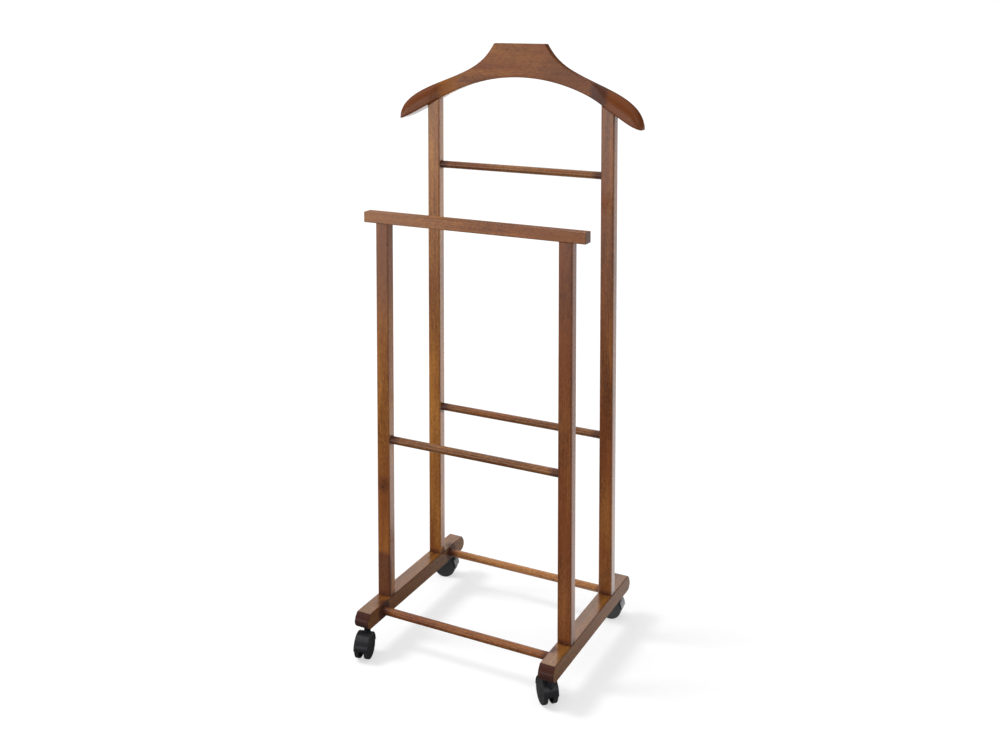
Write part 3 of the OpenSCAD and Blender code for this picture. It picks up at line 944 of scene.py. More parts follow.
def fit_wood(node: str, mesh: bmesh.types.BMesh, material: bpy.types.Material,
             cutters: Sequence[bpy.types.Object] = ()) -> None:
    """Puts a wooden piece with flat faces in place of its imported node.

    Args:
        node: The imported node.
        mesh: The piece's shape. It is freed.
        material: Its finish.
        cutters: Objects to cut out of it.
    """
    piece = as_object(f"{node}_wood", mesh, material)
    if cutters:
        cut(piece, cutters)
    level(piece)
    stand_in(piece, "frame", "stained_wood", node)


@dataclass
class FootBar:
    """A foot bar with bowed ends, soft edges and the recesses in its underside."""

    node: str
    finish: StainedWood
    edge: float = 1.3 * MM
    bow_radius: float = 20.5 * MM
    bow_drop: float = 17.0 * MM
    heel_radius: float = 12.0 * MM
    top_softening: float = 0.4 * MM
    end_steps: int = 26
    soft_steps: int = 4
    recess: Flat = (6.5 * MM, 8.2 * MM)
    bolt_hole: Flat = (3.25 * MM, 40.0 * MM)
    socket_hole: Flat = (5.6 * MM, 20.0 * MM)

    def side_view(self, half: float, low: float, high: float) -> list[Flat]:
        """Outline of the bar seen from its side.

        Args:
            half: Half of its length.
            low: Height of its underside.
            high: Height of its upper face.

        Returns:
            Points in anticlockwise order, as (place along the bar, height).
        """
        bow_y, bow_z = half - self.bow_radius, high - self.bow_drop
        heel_y, heel_z = half - self.heel_radius, low + self.heel_radius

        def reach(z: float) -> float:
            """How far the end reaches: the lesser of its bow and its heel.

            Args:
                z: The height.

            Returns:
                The place along the bar.
            """
            bow = bow_y + math.sqrt(self.bow_radius ** 2 - (z - bow_z) ** 2)
            drop = max(0.0, heel_z - z)
            return min(bow, heel_y + math.sqrt(self.heel_radius ** 2 - drop ** 2))

        brow = high - self.top_softening
        end = []
        for i in range(self.end_steps + 1):
            z = low + (brow - low) * (1 - math.cos(math.pi * i / self.end_steps)) / 2
            end.append((reach(z), z))
        start, corner = Vector(end[-1]), Vector((reach(high), high))
        finish = corner - Vector((1.4 * self.top_softening, 0.0))
        for i in range(1, self.soft_steps + 1):
            u = i / self.soft_steps
            end.append(tuple((1 - u) ** 2 * start + 2 * u * (1 - u) * corner + u * u * finish))
        return end + [(-y, z) for y, z in reversed(end)]

    def build(self) -> None:
        """Makes the bar where its node is."""
        material = self.finish.build()
        low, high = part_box(self.node)
        x = (low.x + high.x) / 2
        outline = self.side_view(high.y, low.z, high.z)
        mesh = slab(outline, low.x, high.x, self.edge, lambda y, z, x: (x, y, z))
        cutters = []
        for place, (radius, height) in ((FRAME_Y, self.recess), (FRAME_Y, self.bolt_hole),
                                        (STEM_Y, self.socket_hole)):
            profile = [(0.0, low.z - height), (radius, low.z - height),
                       (radius, low.z + height), (0.0, low.z + height)]
            for y in (-place, place):
                hole = lathe(profile, lambda a, b, along: (x + a, y + b, along), 64)
                cutters.append(as_object("recess", hole, material))
        fit_wood(self.node, mesh, material, cutters)


@dataclass
class TopRail:
    """The flat trouser rail, with softened ends."""

    finish: StainedWood
    node: str = "front_top_rail"
    edge: float = 1.5 * MM
    end_edge: float = 0.8 * MM

    def build(self) -> None:
        """Makes the rail where its node is."""
        low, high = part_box(self.node)
        y, z = (low.y + high.y) / 2, (low.z + high.z) / 2
        outline = rounded_outline(high.y - low.y, high.z - low.z, self.edge)
        mesh = slab(outline, low.x, high.x, self.end_edge, lambda a, b, x: (x, y + a, z + b))
        fit_wood(self.node, mesh, self.finish.build())


@dataclass
class Upright:
    """An upright with rounded long edges and a thin chamfer at the joints."""

    node: str
    finish: StainedWood
    top_slope: float = 0.0
    edge: float = 3.0 * MM
    end_edge: float = 0.35 * MM

    def build(self) -> None:
        """Makes the upright where its node is, with its top cut to the slope of what it carries."""
        low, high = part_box(self.node)
        x, y = (low.x + high.x) / 2, (low.y + high.y) / 2
        seat = high.z - (high.x - low.x) / 2 * abs(self.top_slope)
        outline = rounded_outline(high.x - low.x, high.y - low.y, self.edge)

        def placed(a: float, b: float, along: float) -> Point:
            """Point of the upright, with the upper end sheared to the slope."""
            shear = self.top_slope * a if along > (low.z + seat) / 2 else 0.0
            return (x + a, y + b, along + shear)

        mesh = slab(outline, low.z, seat, self.end_edge, placed)
        fit_wood(self.node, mesh, self.finish.build())


@dataclass
class CrossDowels:
    """Round dowels of one finish, each drawn out of the same Geometry Nodes tree."""

    finish: StainedWood
    nodes: tuple[str, ...]
    facets: int = 64
    stations: int = 60

    def tree(self, material: bpy.types.Material) -> GeometryTree:
        """Group that sweeps a circle along a straight line.

        Args:
            material: The dowels' finish.

        Returns:
            The group, with the inputs Length, Radius, Depth and Height.
        """
        group = GeometryTree(
            "cross_dowel", {"Length": 0.3, "Radius": 0.0065, "Depth": 0.0, "Height": 0.0})
        graph, size = group.graph, group.size
        half = size["Length"] * 0.5
        start, end = (graph.combine(x, size["Depth"], size["Height"]) for x in (-half, half))
        line = graph.add(
            "GeometryNodeCurvePrimitiveLine", {"Start": start, "End": end}, mode="POINTS")
        spine = graph.add("GeometryNodeResampleCurve", {
            "Curve": line["Curve"], "Count": self.stations}, mode="COUNT")
        circle = graph.add("GeometryNodeCurvePrimitiveCircle", {
            "Resolution": self.facets, "Radius": size["Radius"]}, mode="RADIUS")
        rod = graph.add("GeometryNodeCurveToMesh", {
            "Curve": spine["Curve"], "Profile Curve": circle["Curve"], "Fill Caps": True})
        group.close(rod["Mesh"], material)
        return group

    def build(self) -> None:
        """Makes each dowel where its node is."""
        material = self.finish.build()
        group = self.tree(material)
        for node in self.nodes:
            low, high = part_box(node)
            rod = group.make(
                f"{node}_wood", material, Length=high.x - low.x, Radius=(high.z - low.z) / 2,
                Depth=(low.y + high.y) / 2, Height=(low.z + high.z) / 2)
            stand_in(rod, "frame", "stained_wood", node)


@dataclass
class HangerBoard:
    """The jacket hanger: round shoulders, with a cove on either face that leaves a flat board.

    Every section across it is the round shoulder, cut where the coves are nearer to its middle.
    """

    finish: StainedWood
    node: str = "hanger"
    crest_half: float = 48.5 * MM
    crest_height: float = 58.5 * MM
    arch_half: float = 150.0 * MM
    arch_rise: float = 39.0 * MM
    neck_end: float = 120.0 * MM
    neck_drop: float = 56.0 * MM
    neck_slope: float = 60.0
    neck_lead: float = 30.0 * MM
    neck_trail: float = 42.0 * MM
    shoulder_slope: float = 22.0
    shoulder_lead: float = 60.0 * MM
    shoulder_drop: float = 39.0 * MM
    shoulder_inset: float = 4.0 * MM
    board_thickness: float = 15.0 * MM
    shoulder_thickness: float = 34.0 * MM
    board_middle: float = 91.5 * MM
    shoulder_sweep: float = 17.0 * MM
    sweep_power: float = 1.8
    sweep_from: float = 100.0 * MM
    board_edge: float = 1.5 * MM
    under_edge: float = 3.0 * MM
    least_half: float = 0.2 * MM
    crown_share: float = 0.75
    crown_keep: float = 0.96
    board_crown: float = 6.0 * MM
    crown_from: float = 100.0 * MM
    crown_over: float = 60.0 * MM
    cove_from: float = 125.0 * MM
    cove_over: float = 42.0 * MM
    blend_over: float = 25.2 * MM
    blend_round: float = 3.5 * MM
    tip_round: float = 23.0 * MM
    tip_keep: float = 0.995
    tip_lift: float = 4.0 * MM
    tip_lift_from: float = 200.0 * MM
    tip_height: float = 3.7 * MM
    nose_round: float = 8.0 * MM
    nose_lift: float = 3.2 * MM
    crest_share: float = 0.08
    neck_share: float = 0.42
    half_stations: int = 190
    edge_steps: int = 4
    crown_steps: int = 14
    face_steps: int = 6
    under_steps: int = 5

    def __post_init__(self) -> None:
        """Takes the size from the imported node, and works out the arch and the slope beyond it."""
        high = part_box(self.node)[1]
        self.half, self.crest, self.arch_top = high.x, high.z, high.z - self.crest_height
        self.arch_radius = (self.arch_half ** 2 + self.arch_rise ** 2) / (2 * self.arch_rise)
        self.arm_slope = self.arch_half / (self.arch_radius - self.arch_rise)

    def under(self, s: Value) -> Value:
        """Height of the underside: an arc, then a straight line that lifts at the tip.

        Args:
            s: Distance from the middle.

        Returns:
            The height at that distance.
        """
        held = s.least(self.arch_half)
        arch = (self.arch_radius ** 2 - held * held).root() + (self.arch_top - self.arch_radius)
        beyond = (s - self.arch_half).most(0.0)
        lifted = ((s - self.tip_lift_from).most(0.0) / (self.half - self.tip_lift_from)) ** 2.0
        nose = (s - (self.half - self.nose_round)).most(0.0) / self.nose_round
        nosed = (1.0 - (1.0 - nose * nose).most(0.0).root()) * self.nose_lift
        return arch - beyond * self.arm_slope + lifted * self.tip_lift + nosed

    @staticmethod
    def curve(points: Sequence[Flat], t: Value, axis: int) -> Value:
        """Distance that a cubic curve has gone from its start.

        Args:
            points: Its four control points.
            t: 0 at its start and 1 at its end.
            axis: 0 for the distance across and 1 for the height.

        Returns:
            The distance along that axis.
        """
        p0, p1, p2, p3 = (point[axis] for point in points)
        back = 1.0 - t
        return (back * back * t * (3.0 * (p1 - p0)) + back * t * t * (3.0 * (p2 - p0))
                + t * t * t * (p3 - p0))

    def top_line(self, p: Value) -> tuple[Value, Value]:
        """Distance from the middle and height of the top line.

        Args:
            p: 0 in the middle and 1 at the tip.

        Returns:
            Both values.
        """
        half, crest = self.half, self.crest
        neck_z = crest - self.neck_drop
        arm_end = self.arch_top - self.arch_rise - (half - self.arch_half) * self.arm_slope
        tip_z = arm_end + self.tip_lift + self.tip_height
        steep, gentle = (Vector((math.cos(a), -math.sin(a))) for a in (
            math.radians(self.neck_slope), math.radians(self.shoulder_slope)))
        crest_end, neck_end = Vector((self.crest_half, crest)), Vector((self.neck_end, neck_z))
        neck = [crest_end, crest_end + steep * self.neck_lead,
                neck_end - gentle * self.neck_trail, neck_end]
        shoulder = [neck_end, neck_end + gentle * self.shoulder_lead,
                    (half - self.shoulder_inset, tip_z + self.shoulder_drop + self.tip_height),
                    (half, tip_z)]
        graph = p.graph
        on_crest = graph.ramp(p, 0.0, self.crest_share, smooth=False)
        on_neck = graph.ramp(p, self.crest_share, self.neck_share, smooth=False)
        on_shoulder = graph.ramp(p, self.neck_share, 1.0, smooth=False)
        s, top = (self.curve(neck, on_neck, axis) + self.curve(shoulder, on_shoulder, axis)
                  for axis in (0, 1))
        return s + on_crest * self.crest_half, top + crest

    def tree(self, material: bpy.types.Material) -> GeometryTree:
        """Group that bends a grid into the hanger.

        Args:
            material: The hanger's finish.

        Returns:
            The group, with the inputs Board Thickness, Shoulder Thickness and Sweep.
        """
        group = GeometryTree("hanger_board", {
            "Board Thickness": self.board_thickness,
            "Shoulder Thickness": self.shoulder_thickness,
            "Sweep": self.shoulder_sweep,
        })
        graph, size, half = group.graph, group.size, self.half
        steps = (self.edge_steps, self.crown_steps, self.face_steps, self.under_steps)
        down = sum(steps)
        around = 2 * (down + 1)
        grid = graph.add("GeometryNodeMeshGrid", {
            "Size X": 2.0, "Size Y": 1.0,
            "Vertices X": 2 * self.half_stations + 1, "Vertices Y": around + 1})
        index = graph.add("GeometryNodeInputIndex")["Index"]
        row = index.wrapped(float(around + 1)).wrapped(float(around))
        signed = (index / float(around + 1)).whole() / float(self.half_stations) - 1.0
        s, top = self.top_line(abs(signed))
        height = top - self.under(s)

        near_tip = ((s - (half - self.tip_round)).most(0.0) / self.tip_round) * self.tip_keep
        full = size["Shoulder Thickness"] * 0.5 * (1.0 - near_tip * near_tip).root()
        hollow = ((s - self.cove_from).most(0.0) / self.cove_over) ** 2.0
        board = size["Board Thickness"]
        cove = (board + (size["Shoulder Thickness"] - board) * hollow) * 0.5
        beyond = (s - self.sweep_from).most(0.0) / (half - self.sweep_from)
        middle = self.board_middle - size["Sweep"] * beyond ** self.sweep_power

        rounder = graph.ramp(s, self.crown_from, self.crown_from + self.crown_over)
        edge_z = (height * 0.1).least(self.board_edge)
        flat_crown = (height * 0.5).least(self.board_crown)
        crown_z = flat_crown + (height * self.crown_share - flat_crown) * rounder
        under_z = (self.board_edge + (self.under_edge - self.board_edge) * rounder).least(
            height * ((1.0 - self.crown_share) / 2))
        under_y = under_z.least(full * self.crown_keep)

        downward = graph.maths("GREATER_THAN", row, down + 0.5)
        passed = down - row + downward * (2.0 * row - (2.0 * down + 1.0))
        shares, begun = [], 0
        for count in steps:
            shares.append(graph.ramp(passed, float(begun), float(begun + count), smooth=False))
            begun += count
        quarter = math.pi / 2
        depth = (edge_z * (1.0 - (shares[0] * quarter).cosine())
                 + (crown_z - edge_z) * (1.0 - (shares[1] * quarter).cosine())
                 + (height - crown_z - under_z) * shares[2]
                 + under_z * (shares[3] * quarter).sine())

        def edge_share(into: Value, whole: Value) -> Value:
            """Share of its width that a round edge has at a depth into it."""
            left = 1.0 - (into / whole).clipped()
            return (1.0 - left * left).most(0.0).root()

        crowned = full * ((1.0 - self.crown_keep) + self.crown_keep * edge_share(depth, crown_z))
        coved = cove - self.board_edge * (1.0 - edge_share(depth, edge_z))
        soft = graph.ramp(s, self.cove_from, self.cove_from + self.blend_over) * self.blend_round
        apart = crowned - coved
        nearer = (crowned + coved - (apart * apart + soft * soft).root()) * 0.5
        drawn_in = under_y * (1.0 - edge_share(height - depth, under_z))
        reach = nearer.most(self.least_half) - drawn_in
        y = middle + reach * (1.0 - 2.0 * downward)
        place = graph.combine(graph.maths("SIGN", signed) * s, y, top - depth)
        bent = graph.add(
            "GeometryNodeSetPosition", {"Geometry": grid["Mesh"], "Position": place})
        group.close(bent["Geometry"], material)
        return group

    def build(self) -> None:
        """Makes the hanger where its node is."""
        material = self.finish.build()
        board = self.tree(material).make("hanger_wood", material, 35.0)
        stand_in(board, "frame", "stained_wood", self.node)


# ---------- hardware ----------


@dataclass
class BoltSet:
    """The four socket-head bolts under the foot bars and their washers."""

    metal: PlatedMetal
    shank_radius: float = 3.0 * MM
    head_radius: float = 5.0 * MM
    head_height: float = 6.0 * MM
    head_edge: float = 0.5 * MM
    seat_edge: float = 0.2 * MM
    tip_edge: float = 0.6 * MM
    key_width: float = 5.0 * MM
    key_depth: float = 3.5 * MM
    washer_edge: float = 0.25 * MM
    thread_pitch: float = 1.0 * MM
    thread_depth: float = 0.45 * MM
    thread_turns: int = 21

    @staticmethod
    def place(node: str, part: bpy.types.Object, material: bpy.types.Material) -> None:
        """Repeats a part at the four uprights, in place of its node.

        Args:
            node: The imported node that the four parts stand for.
            part: The part, on the Z axis. It is removed.
            material: Its finish.
        """
        group = GeometryTree(
            f"{node}_pattern", {"Half Spacing X": UPRIGHT_X, "Half Spacing Y": FRAME_Y})
        graph = group.graph
        wide, deep = (group.size[f"Half Spacing {axis}"] * 2.0 for axis in "XY")
        grid = graph.add("GeometryNodeMeshGrid", {
            "Size X": wide, "Size Y": deep, "Vertices X": 2, "Vertices Y": 2})
        shape = graph.add("GeometryNodeObjectInfo", {"Object": part})
        copies = graph.add("GeometryNodeInstanceOnPoints", {
            "Points": grid["Mesh"], "Instance": shape["Geometry"]})
        group.close(copies["Instances"], material)
        parts = group.make(f"{node}_set", material)
        discard(part)
        stand_in(parts, "frame", "steel", node)

    def bolt(self, foot: float, tip: float, material: bpy.types.Material) -> bpy.types.Object:
        """One bolt on the Z axis.

        Args:
            foot: Height of the head's outer face.
            tip: Height of the shank's end.
            material: Its finish.

        Returns:
            The bolt, with a hexagon recess and cut thread rings near its tip.
        """
        seat = foot + self.head_height
        thread_from = tip - (self.thread_turns + 1) * self.thread_pitch
        profile: list[Flat] = [(0.0, foot)]
        edge_at = (self.head_radius - self.head_edge, foot + self.head_edge)
        profile += arc(edge_at, self.head_edge, -90, 0, 5)
        profile += [(self.head_radius, seat - self.seat_edge),
                    (self.head_radius - self.seat_edge, seat),
                    (self.shank_radius, seat), (self.shank_radius, thread_from)]
        for turn in range(self.thread_turns):
            at = thread_from + turn * self.thread_pitch
            profile += [(self.shank_radius - self.thread_depth, at + self.thread_pitch * 0.5),
                        (self.shank_radius, at + self.thread_pitch)]
        profile += [(self.shank_radius - self.tip_edge, tip), (0.0, tip)]
        bolt = as_object("bolt", lathe(profile, on_z, 36), material)
        reach = self.key_width / 2 / math.cos(math.pi / 6)
        socket = [(0.0, foot - self.key_depth), (reach, foot - self.key_depth),
                  (reach, foot + self.key_depth), (0.0, foot + self.key_depth * 1.12)]
        cut(bolt, [as_object("key", lathe(socket, on_z, 6), material)])
        return bolt

    def washer(self, low: float, high: float, radius: float,
               material: bpy.types.Material) -> bpy.types.Object:
        """One washer on the Z axis, with softened edges.

        Args:
            low: Height of its lower face.
            high: Height of its upper face.
            radius: Its outer radius.
            material: Its finish.

        Returns:
            The washer.
        """
        edge = self.washer_edge
        bore = self.shank_radius + edge
        profile = [(bore, low + edge), (bore + edge, low), (radius - edge, low),
                   (radius, low + edge), (radius, high - edge), (radius - edge, high),
                   (bore + edge, high), (bore, high - edge)]
        return as_object("washer", lathe(profile, on_z, 64), material)

    def build(self) -> None:
        """Makes the bolts and the washers where their nodes are."""
        material = self.metal.build()
        low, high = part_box("upright_bolts")
        self.place("upright_bolts", self.bolt(low.z, high.z, material), material)
        low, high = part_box("bolt_washers")
        washer = self.washer(low.z, high.z, high.x - UPRIGHT_X, material)
        self.place("bolt_washers", washer, material)


# ---------- casters ----------


class CasterSite(Enum):
    """The four casters: side, end and the heading in which each one trails, in degrees."""

    FRONT_LEFT = (-1, -1, -76.0)
    FRONT_RIGHT = (1, -1, 134.0)
    REAR_LEFT = (-1, 1, -168.0)
    REAR_RIGHT = (1, 1, -174.0)


@dataclass
class Caster:
    """A twin-wheel caster with a hood over both wheels."""

    site: CasterSite
    wheel_finish: bpy.types.Material
    trail: float = 14.0 * MM
    wheel_radius: float = 20.0 * MM
    wheel_edge: float = 2.0 * MM
    inner_face: float = 4.5 * MM
    outer_face: float = 12.0 * MM
    wall: float = 2.5 * MM
    hub_radius: float = 6.0 * MM
    bore_radius: float = 2.55 * MM
    bore_end: float = 10.9 * MM
    soft: float = 0.2 * MM
    draft: float = 0.1 * MM
    fillet: float = 0.6 * MM
    tread_edge: float = 0.5 * MM
    dish_depth: float = 0.45 * MM
    rib_count: int = 8
    rib_width: float = 1.4 * MM
    rib_drop: float = 1.2 * MM

    @property
    def name(self) -> str:
        """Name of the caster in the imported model."""
        return self.site.name.lower()

    def about_axle(self, side: int) -> Placing:
        """Placing function for a part turned on the axle.

        Args:
            side: -1 or 1, the part's side of the caster.

        Returns:
            What turns (radius * cos, radius * sin, along) into a point of the frame.
        """
        across, end, heading = self.site.value
        stem_x, stem_y = across * UPRIGHT_X, end * STEM_Y
        cos, sin = math.cos(math.radians(heading)), math.sin(math.radians(heading))

        def placed(a: float, b: float, along: float) -> Point:
            """Point of the frame, at the caster's stem and heading."""
            x, y = self.trail + a, side * along
            return stem_x + x * cos - y * sin, stem_y + x * sin + y * cos, self.wheel_radius + b

        return placed

    def wheel_profile(self) -> list[Flat]:
        """Section of a wheel.

        Returns:
            Points as (radius, distance from the caster's middle).
        """
        r, hub, bore, inner, face = (self.wheel_radius, self.hub_radius, self.bore_radius,
                                     self.inner_face, self.outer_face)
        soft, draft, fillet, edge = self.soft, self.draft, self.fillet, self.wheel_edge
        floor, rim, dish = face - self.wall, r - self.wall, face - self.dish_depth
        profile: list[Flat] = [
            (0.0, self.bore_end), (bore, self.bore_end), (bore, inner + soft), (bore + soft, inner),
            (hub - draft - soft, inner), (hub, inner + draft + soft),
            (hub + draft, floor - fillet), (hub + draft + fillet, floor),
            (rim - draft - fillet, floor), (rim - draft, floor - fillet),
            (rim, inner + soft), (rim + soft, inner),
        ]
        profile += arc((r - self.tread_edge, inner + self.tread_edge), self.tread_edge, -90, 0, 4)
        profile += arc((r - edge, face - edge), edge, 0, 90, 8)
        profile += [
            (r - 2.9 * MM, face), (r - 3.25 * MM, face - 0.12 * MM), (r - 3.6 * MM, dish),
            (7.2 * MM, dish), (6.8 * MM, face - 0.12 * MM), (6.4 * MM, face - 0.02 * MM),
            (3.0 * MM, face), (0.0, face),
        ]
        return profile

    def ribs(self, name: str, placed: Placing) -> bpy.types.Object:
        """Radial ribs between the hub and the rim, on the inner side of a wheel.

        Args:
            name: The piece's name.
            placed: Placing function of the wheel.

        Returns:
            The ribs as one piece.
        """
        floor = self.outer_face - self.wall
        depth = floor - self.inner_face - self.rib_drop
        group = GeometryTree("wheel_ribs", {
            "Inner Radius": self.hub_radius - self.soft,
            "Outer Radius": self.wheel_radius - self.wall + self.soft,
            "Rib Width": self.rib_width,
            "Rib Depth": depth,
        })
        graph, size = group.graph, group.size
        inner, outer = size["Inner Radius"], size["Outer Radius"]
        circle = graph.add("GeometryNodeMeshCircle", {
            "Vertices": self.rib_count, "Radius": (outer + inner) * 0.5})
        rib = graph.add("GeometryNodeMeshCube", {
            "Size": graph.combine(outer - inner, size["Rib Width"], size["Rib Depth"])})
        spot = graph.add("GeometryNodeInputPosition")["Position"]
        turn = graph.add("FunctionNodeAxesToRotation", {
            "Primary Axis": graph.vector("NORMALIZE", spot), "Secondary Axis": (0.0, 0.0, 1.0)},
            primary_axis="X", secondary_axis="Z")
        around = graph.add("GeometryNodeInstanceOnPoints", {
            "Points": circle["Mesh"], "Instance": rib["Mesh"], "Rotation": turn["Rotation"]})
        group.close(around["Instances"], self.wheel_finish)
        piece = group.make(name, self.wheel_finish)
        mesh = bmesh.new()
        mesh.from_mesh(piece.data)
        for vertex in mesh.verts:
            vertex.co = placed(vertex.co.x, vertex.co.y, floor - depth / 2 + vertex.co.z)
        bmesh.ops.recalc_face_normals(mesh, faces=mesh.faces)
        mesh.to_mesh(piece.data)
        mesh.free()
        return piece

    def build(self) -> None:
        """Makes both wheels and their ribs."""
        for which, side in SIDES.items():
            body = f"{self.name}_{which}_wheel"
            node = f"{self.name}_caster_{which}_wheel"
            placed = self.about_axle(side)
            mesh = lathe(self.wheel_profile(), placed, 112)
            wheel = as_object(f"{node}_moulding", mesh, self.wheel_finish)
            stand_in(wheel, body, "wheel_plastic", node)
            stand_in(self.ribs(f"{body}_ribs", placed), body, "wheel_plastic")


# ---------- studio ----------


@dataclass
class Studio:
    """Plain pale floor, soft light and the camera.

    World and floor are brighter in reflections behind the stand, high above it and far in front
    of it than elsewhere, as in a room with a lit backdrop. These glows light nothing.
    """

    camera_place: Point = (0.86606, -1.70182, 1.07599)
    camera_yaw: float = 26.9945
    camera_pitch: float = 3.745
    lens: float = 41.706
    sensor: float = 36.0
    shift: Flat = (0.0037, -0.2972)
    clip: Flat = (0.05, 200.0)
    floor_size: float = 60.0
    floor_drop: float = 0.4 * MM
    floor_colour: Colour = (0.47, 0.47, 0.474)
    floor_lift: float = 0.57
    key_turn: Flat = (37.0, -68.6)
    key_strength: float = 1.5
    key_spread: float = 17.0
    fill_strength: float = 0.72
    front_share: float = 0.35
    dim_glow: float = 0.06
    back_glow: float = 1.9
    front_glow: float = 2.4
    rear_glow: float = 2.5
    above_glow: float = 0.6
    left_box_glow: float = 0.5
    right_box_glow: float = 1.3

    def camera(self) -> None:
        """Sets the camera up as in the photograph."""
        data = bpy.data.cameras.new("camera")
        data.lens = self.lens
        data.sensor_width = self.sensor
        data.sensor_fit = "HORIZONTAL"
        data.shift_x, data.shift_y = self.shift
        data.clip_start, data.clip_end = self.clip
        camera = linked("camera", data)
        camera.location = self.camera_place
        camera.rotation_euler = (
            math.radians(90.0 - self.camera_pitch), 0.0, math.radians(self.camera_yaw))
        bpy.context.scene.camera = camera

    def backward(self, x: Value, y: Value) -> Value:
        """Distance behind the stand, along the line on which the camera looks at it."""
        turn = math.radians(self.camera_yaw)
        return x * math.sin(turn) + y * math.cos(turn)

    def floor(self) -> None:
        """Lays a pale floor that keeps the stand's shadow and reads white to the camera."""
        mesh = bmesh.new()
        half = self.floor_size / 2
        corners = [(-half, -half), (half, -half), (half, half), (-half, half)]
        mesh.faces.new([mesh.verts.new((x, y, -self.floor_drop)) for x, y in corners])
        material, graph = new_material("studio_floor")
        paths = graph.add("ShaderNodeLightPath")
        x, y, _ = graph.split(graph.add("ShaderNodeTexCoord")["Object"])
        back = self.backward(x, y)
        glow = (graph.ramp(back, -0.12, 0.42, self.dim_glow, self.back_glow)
                + graph.ramp(-back, 1.4, 7.0, 0.0, self.front_glow, smooth=False))
        mirrored = paths["Is Glossy Ray"]
        shown = paths["Is Camera Ray"] * self.floor_lift + mirrored * glow
        colour = graph.blend(mirrored, self.floor_colour, (0.0, 0.0, 0.0))
        matte = graph.add("ShaderNodeBsdfDiffuse", {"Color": colour})
        lift = graph.add("ShaderNodeEmission", {"Color": (1.0, 1.0, 1.0), "Strength": shown})
        both = graph.add("ShaderNodeAddShader", {0: matte["BSDF"], 1: lift["Emission"]})
        graph.add("ShaderNodeOutputMaterial", {"Surface": both["Shader"]})
        floor = as_object("studio_floor", mesh, material)

    def world(self) -> None:
        """Lights the stand evenly from all round and shows a white background."""
        world = bpy.data.worlds.new("studio")
        world.use_nodes = True
        world.node_tree.nodes.clear()
        bpy.context.scene.world = world
        graph = Graph(world.node_tree)
        ramp = graph.ramp
        paths = graph.add("ShaderNodeLightPath")
        x, y, z = graph.split(graph.add("ShaderNodeTexCoord")["Generated"])
        back = self.backward(x, y)
        rear = ramp(back, 0.25, 0.5) * ramp(z, 0.39, 0.47) * ramp(-x, 0.12, 0.30)
        front = ramp(-back, 0.86, 0.975) * ramp(z, 0.05, 0.35, 1.0, 0.0)
        left_box = ramp(z * 0.66 - x * 0.70 - y * 0.27, 0.80, 0.95)
        right_box = ramp(z * 0.48 + x * 0.62 - y * 0.62, 0.91, 0.985)
        glow = (self.dim_glow + rear * self.rear_glow + front * self.front_glow
                + ramp(z, 0.55, 0.95) * self.above_glow
                + left_box * self.left_box_glow + right_box * self.right_box_glow)
        seen, mirrored = paths["Is Camera Ray"], paths["Is Glossy Ray"]
        fill = self.fill_strength * (1.0 - back * self.front_share)
        strength = fill * (1.0 - seen) * (1.0 - mirrored) + seen + mirrored * glow
        background = graph.add(
            "ShaderNodeBackground", {"Color": (1.0, 1.0, 1.0), "Strength": strength})
        graph.add("ShaderNodeOutputWorld", {"Surface": background["Background"]})

    def lights(self) -> None:
        """Hangs a broad soft key light to the front left."""
        data = bpy.data.lights.new("key", "SUN")
        data.energy = self.key_strength
        data.angle = math.radians(self.key_spread)
        key = linked("key", data)
        tilt, turn = self.key_turn
        key.rotation_euler = (math.radians(tilt), 0.0, math.radians(turn))
        key.visible_glossy = False

    def build(self) -> None:
        """Makes the whole studio."""
        self.camera()
        self.floor()
        self.world()
        self.lights()
        bpy.context.scene.view_settings.view_transform = "Standard"


# ---------- the stand ----------


FOOT_BAR_TONES = {"pale": (0.30, 0.122, 0.022), "deep": (0.125, 0.045, 0.008),
                  "red": (0.19, 0.058, 0.012), "pith": (0.2, 0.35), "roughness": 0.33,
                  "matt_between": (-1.0, 0.0)}
FOOT_BAR_SIDE_MATT = {"left": 0.4, "right": 0.55}
UPRIGHT_TONES = {
    ("front", "left"): {
        "pale": (0.52, 0.21, 0.038), "deep": (0.21, 0.066, 0.011), "side_matt": 0.45},
    ("rear", "left"): {
        "pale": (0.54, 0.22, 0.040), "deep": (0.22, 0.070, 0.011)},
    ("front", "right"): {
        "pale": (0.30, 0.102, 0.026), "deep": (0.11, 0.030, 0.008), "side_matt": 0.30,
        "matt_between": (-0.25, 0.6)},
    ("rear", "right"): {
        "pale": (0.34, 0.120, 0.026), "deep": (0.12, 0.034, 0.008), "side_matt": 0.2},
}
REAR_TOP_SLOPE = {"left": 0.5577, "right": -0.5577}
DOWEL_TONES = {
    "front_base_dowel": (("front_base_dowel",), (0.37, 0.135, 0.032), (0.130, 0.034, 0.008)),
    "rear_base_dowel": (("rear_base_dowel",), (0.54, 0.230, 0.065), (0.190, 0.060, 0.016)),
    "cross_dowels": (("front_cross_dowel", "rear_lower_dowel", "rear_top_dowel"),
                     (0.32, 0.130, 0.034), (0.105, 0.034, 0.010)),
}
KNOTS = (Knot((-0.1557, -0.095, 0.6753), 3.2 * MM), Knot((-0.1557, -0.095, 0.697), 1.6 * MM),
         Knot((-0.154, -0.088, 0.186), 2.4 * MM), Knot((-0.154, -0.084, 0.205), 1.6 * MM),
         Knot((-0.167, -0.095, 0.262), 2.4 * MM))
JOINT_BROWN, BAR_BROWN = (0.090, 0.025, 0.010), (0.060, 0.012, 0.005)
# Golden is a painted reflection on the hanger's left cove and umber is painted shade on its right
# cove; amber is the darker stain of its cross-cut shoulders.
GOLDEN_PAINTED_REFLECTION, AMBER, UMBER_PAINTED_SHADE = (0.30, 0.095, 0.008), (0.165, 0.041, 0.006), (0.060, 0.016, 0.007)
FRONT_LEFT_FACE = (-UPRIGHT_X, -FRAME_Y - 9.0 * MM)
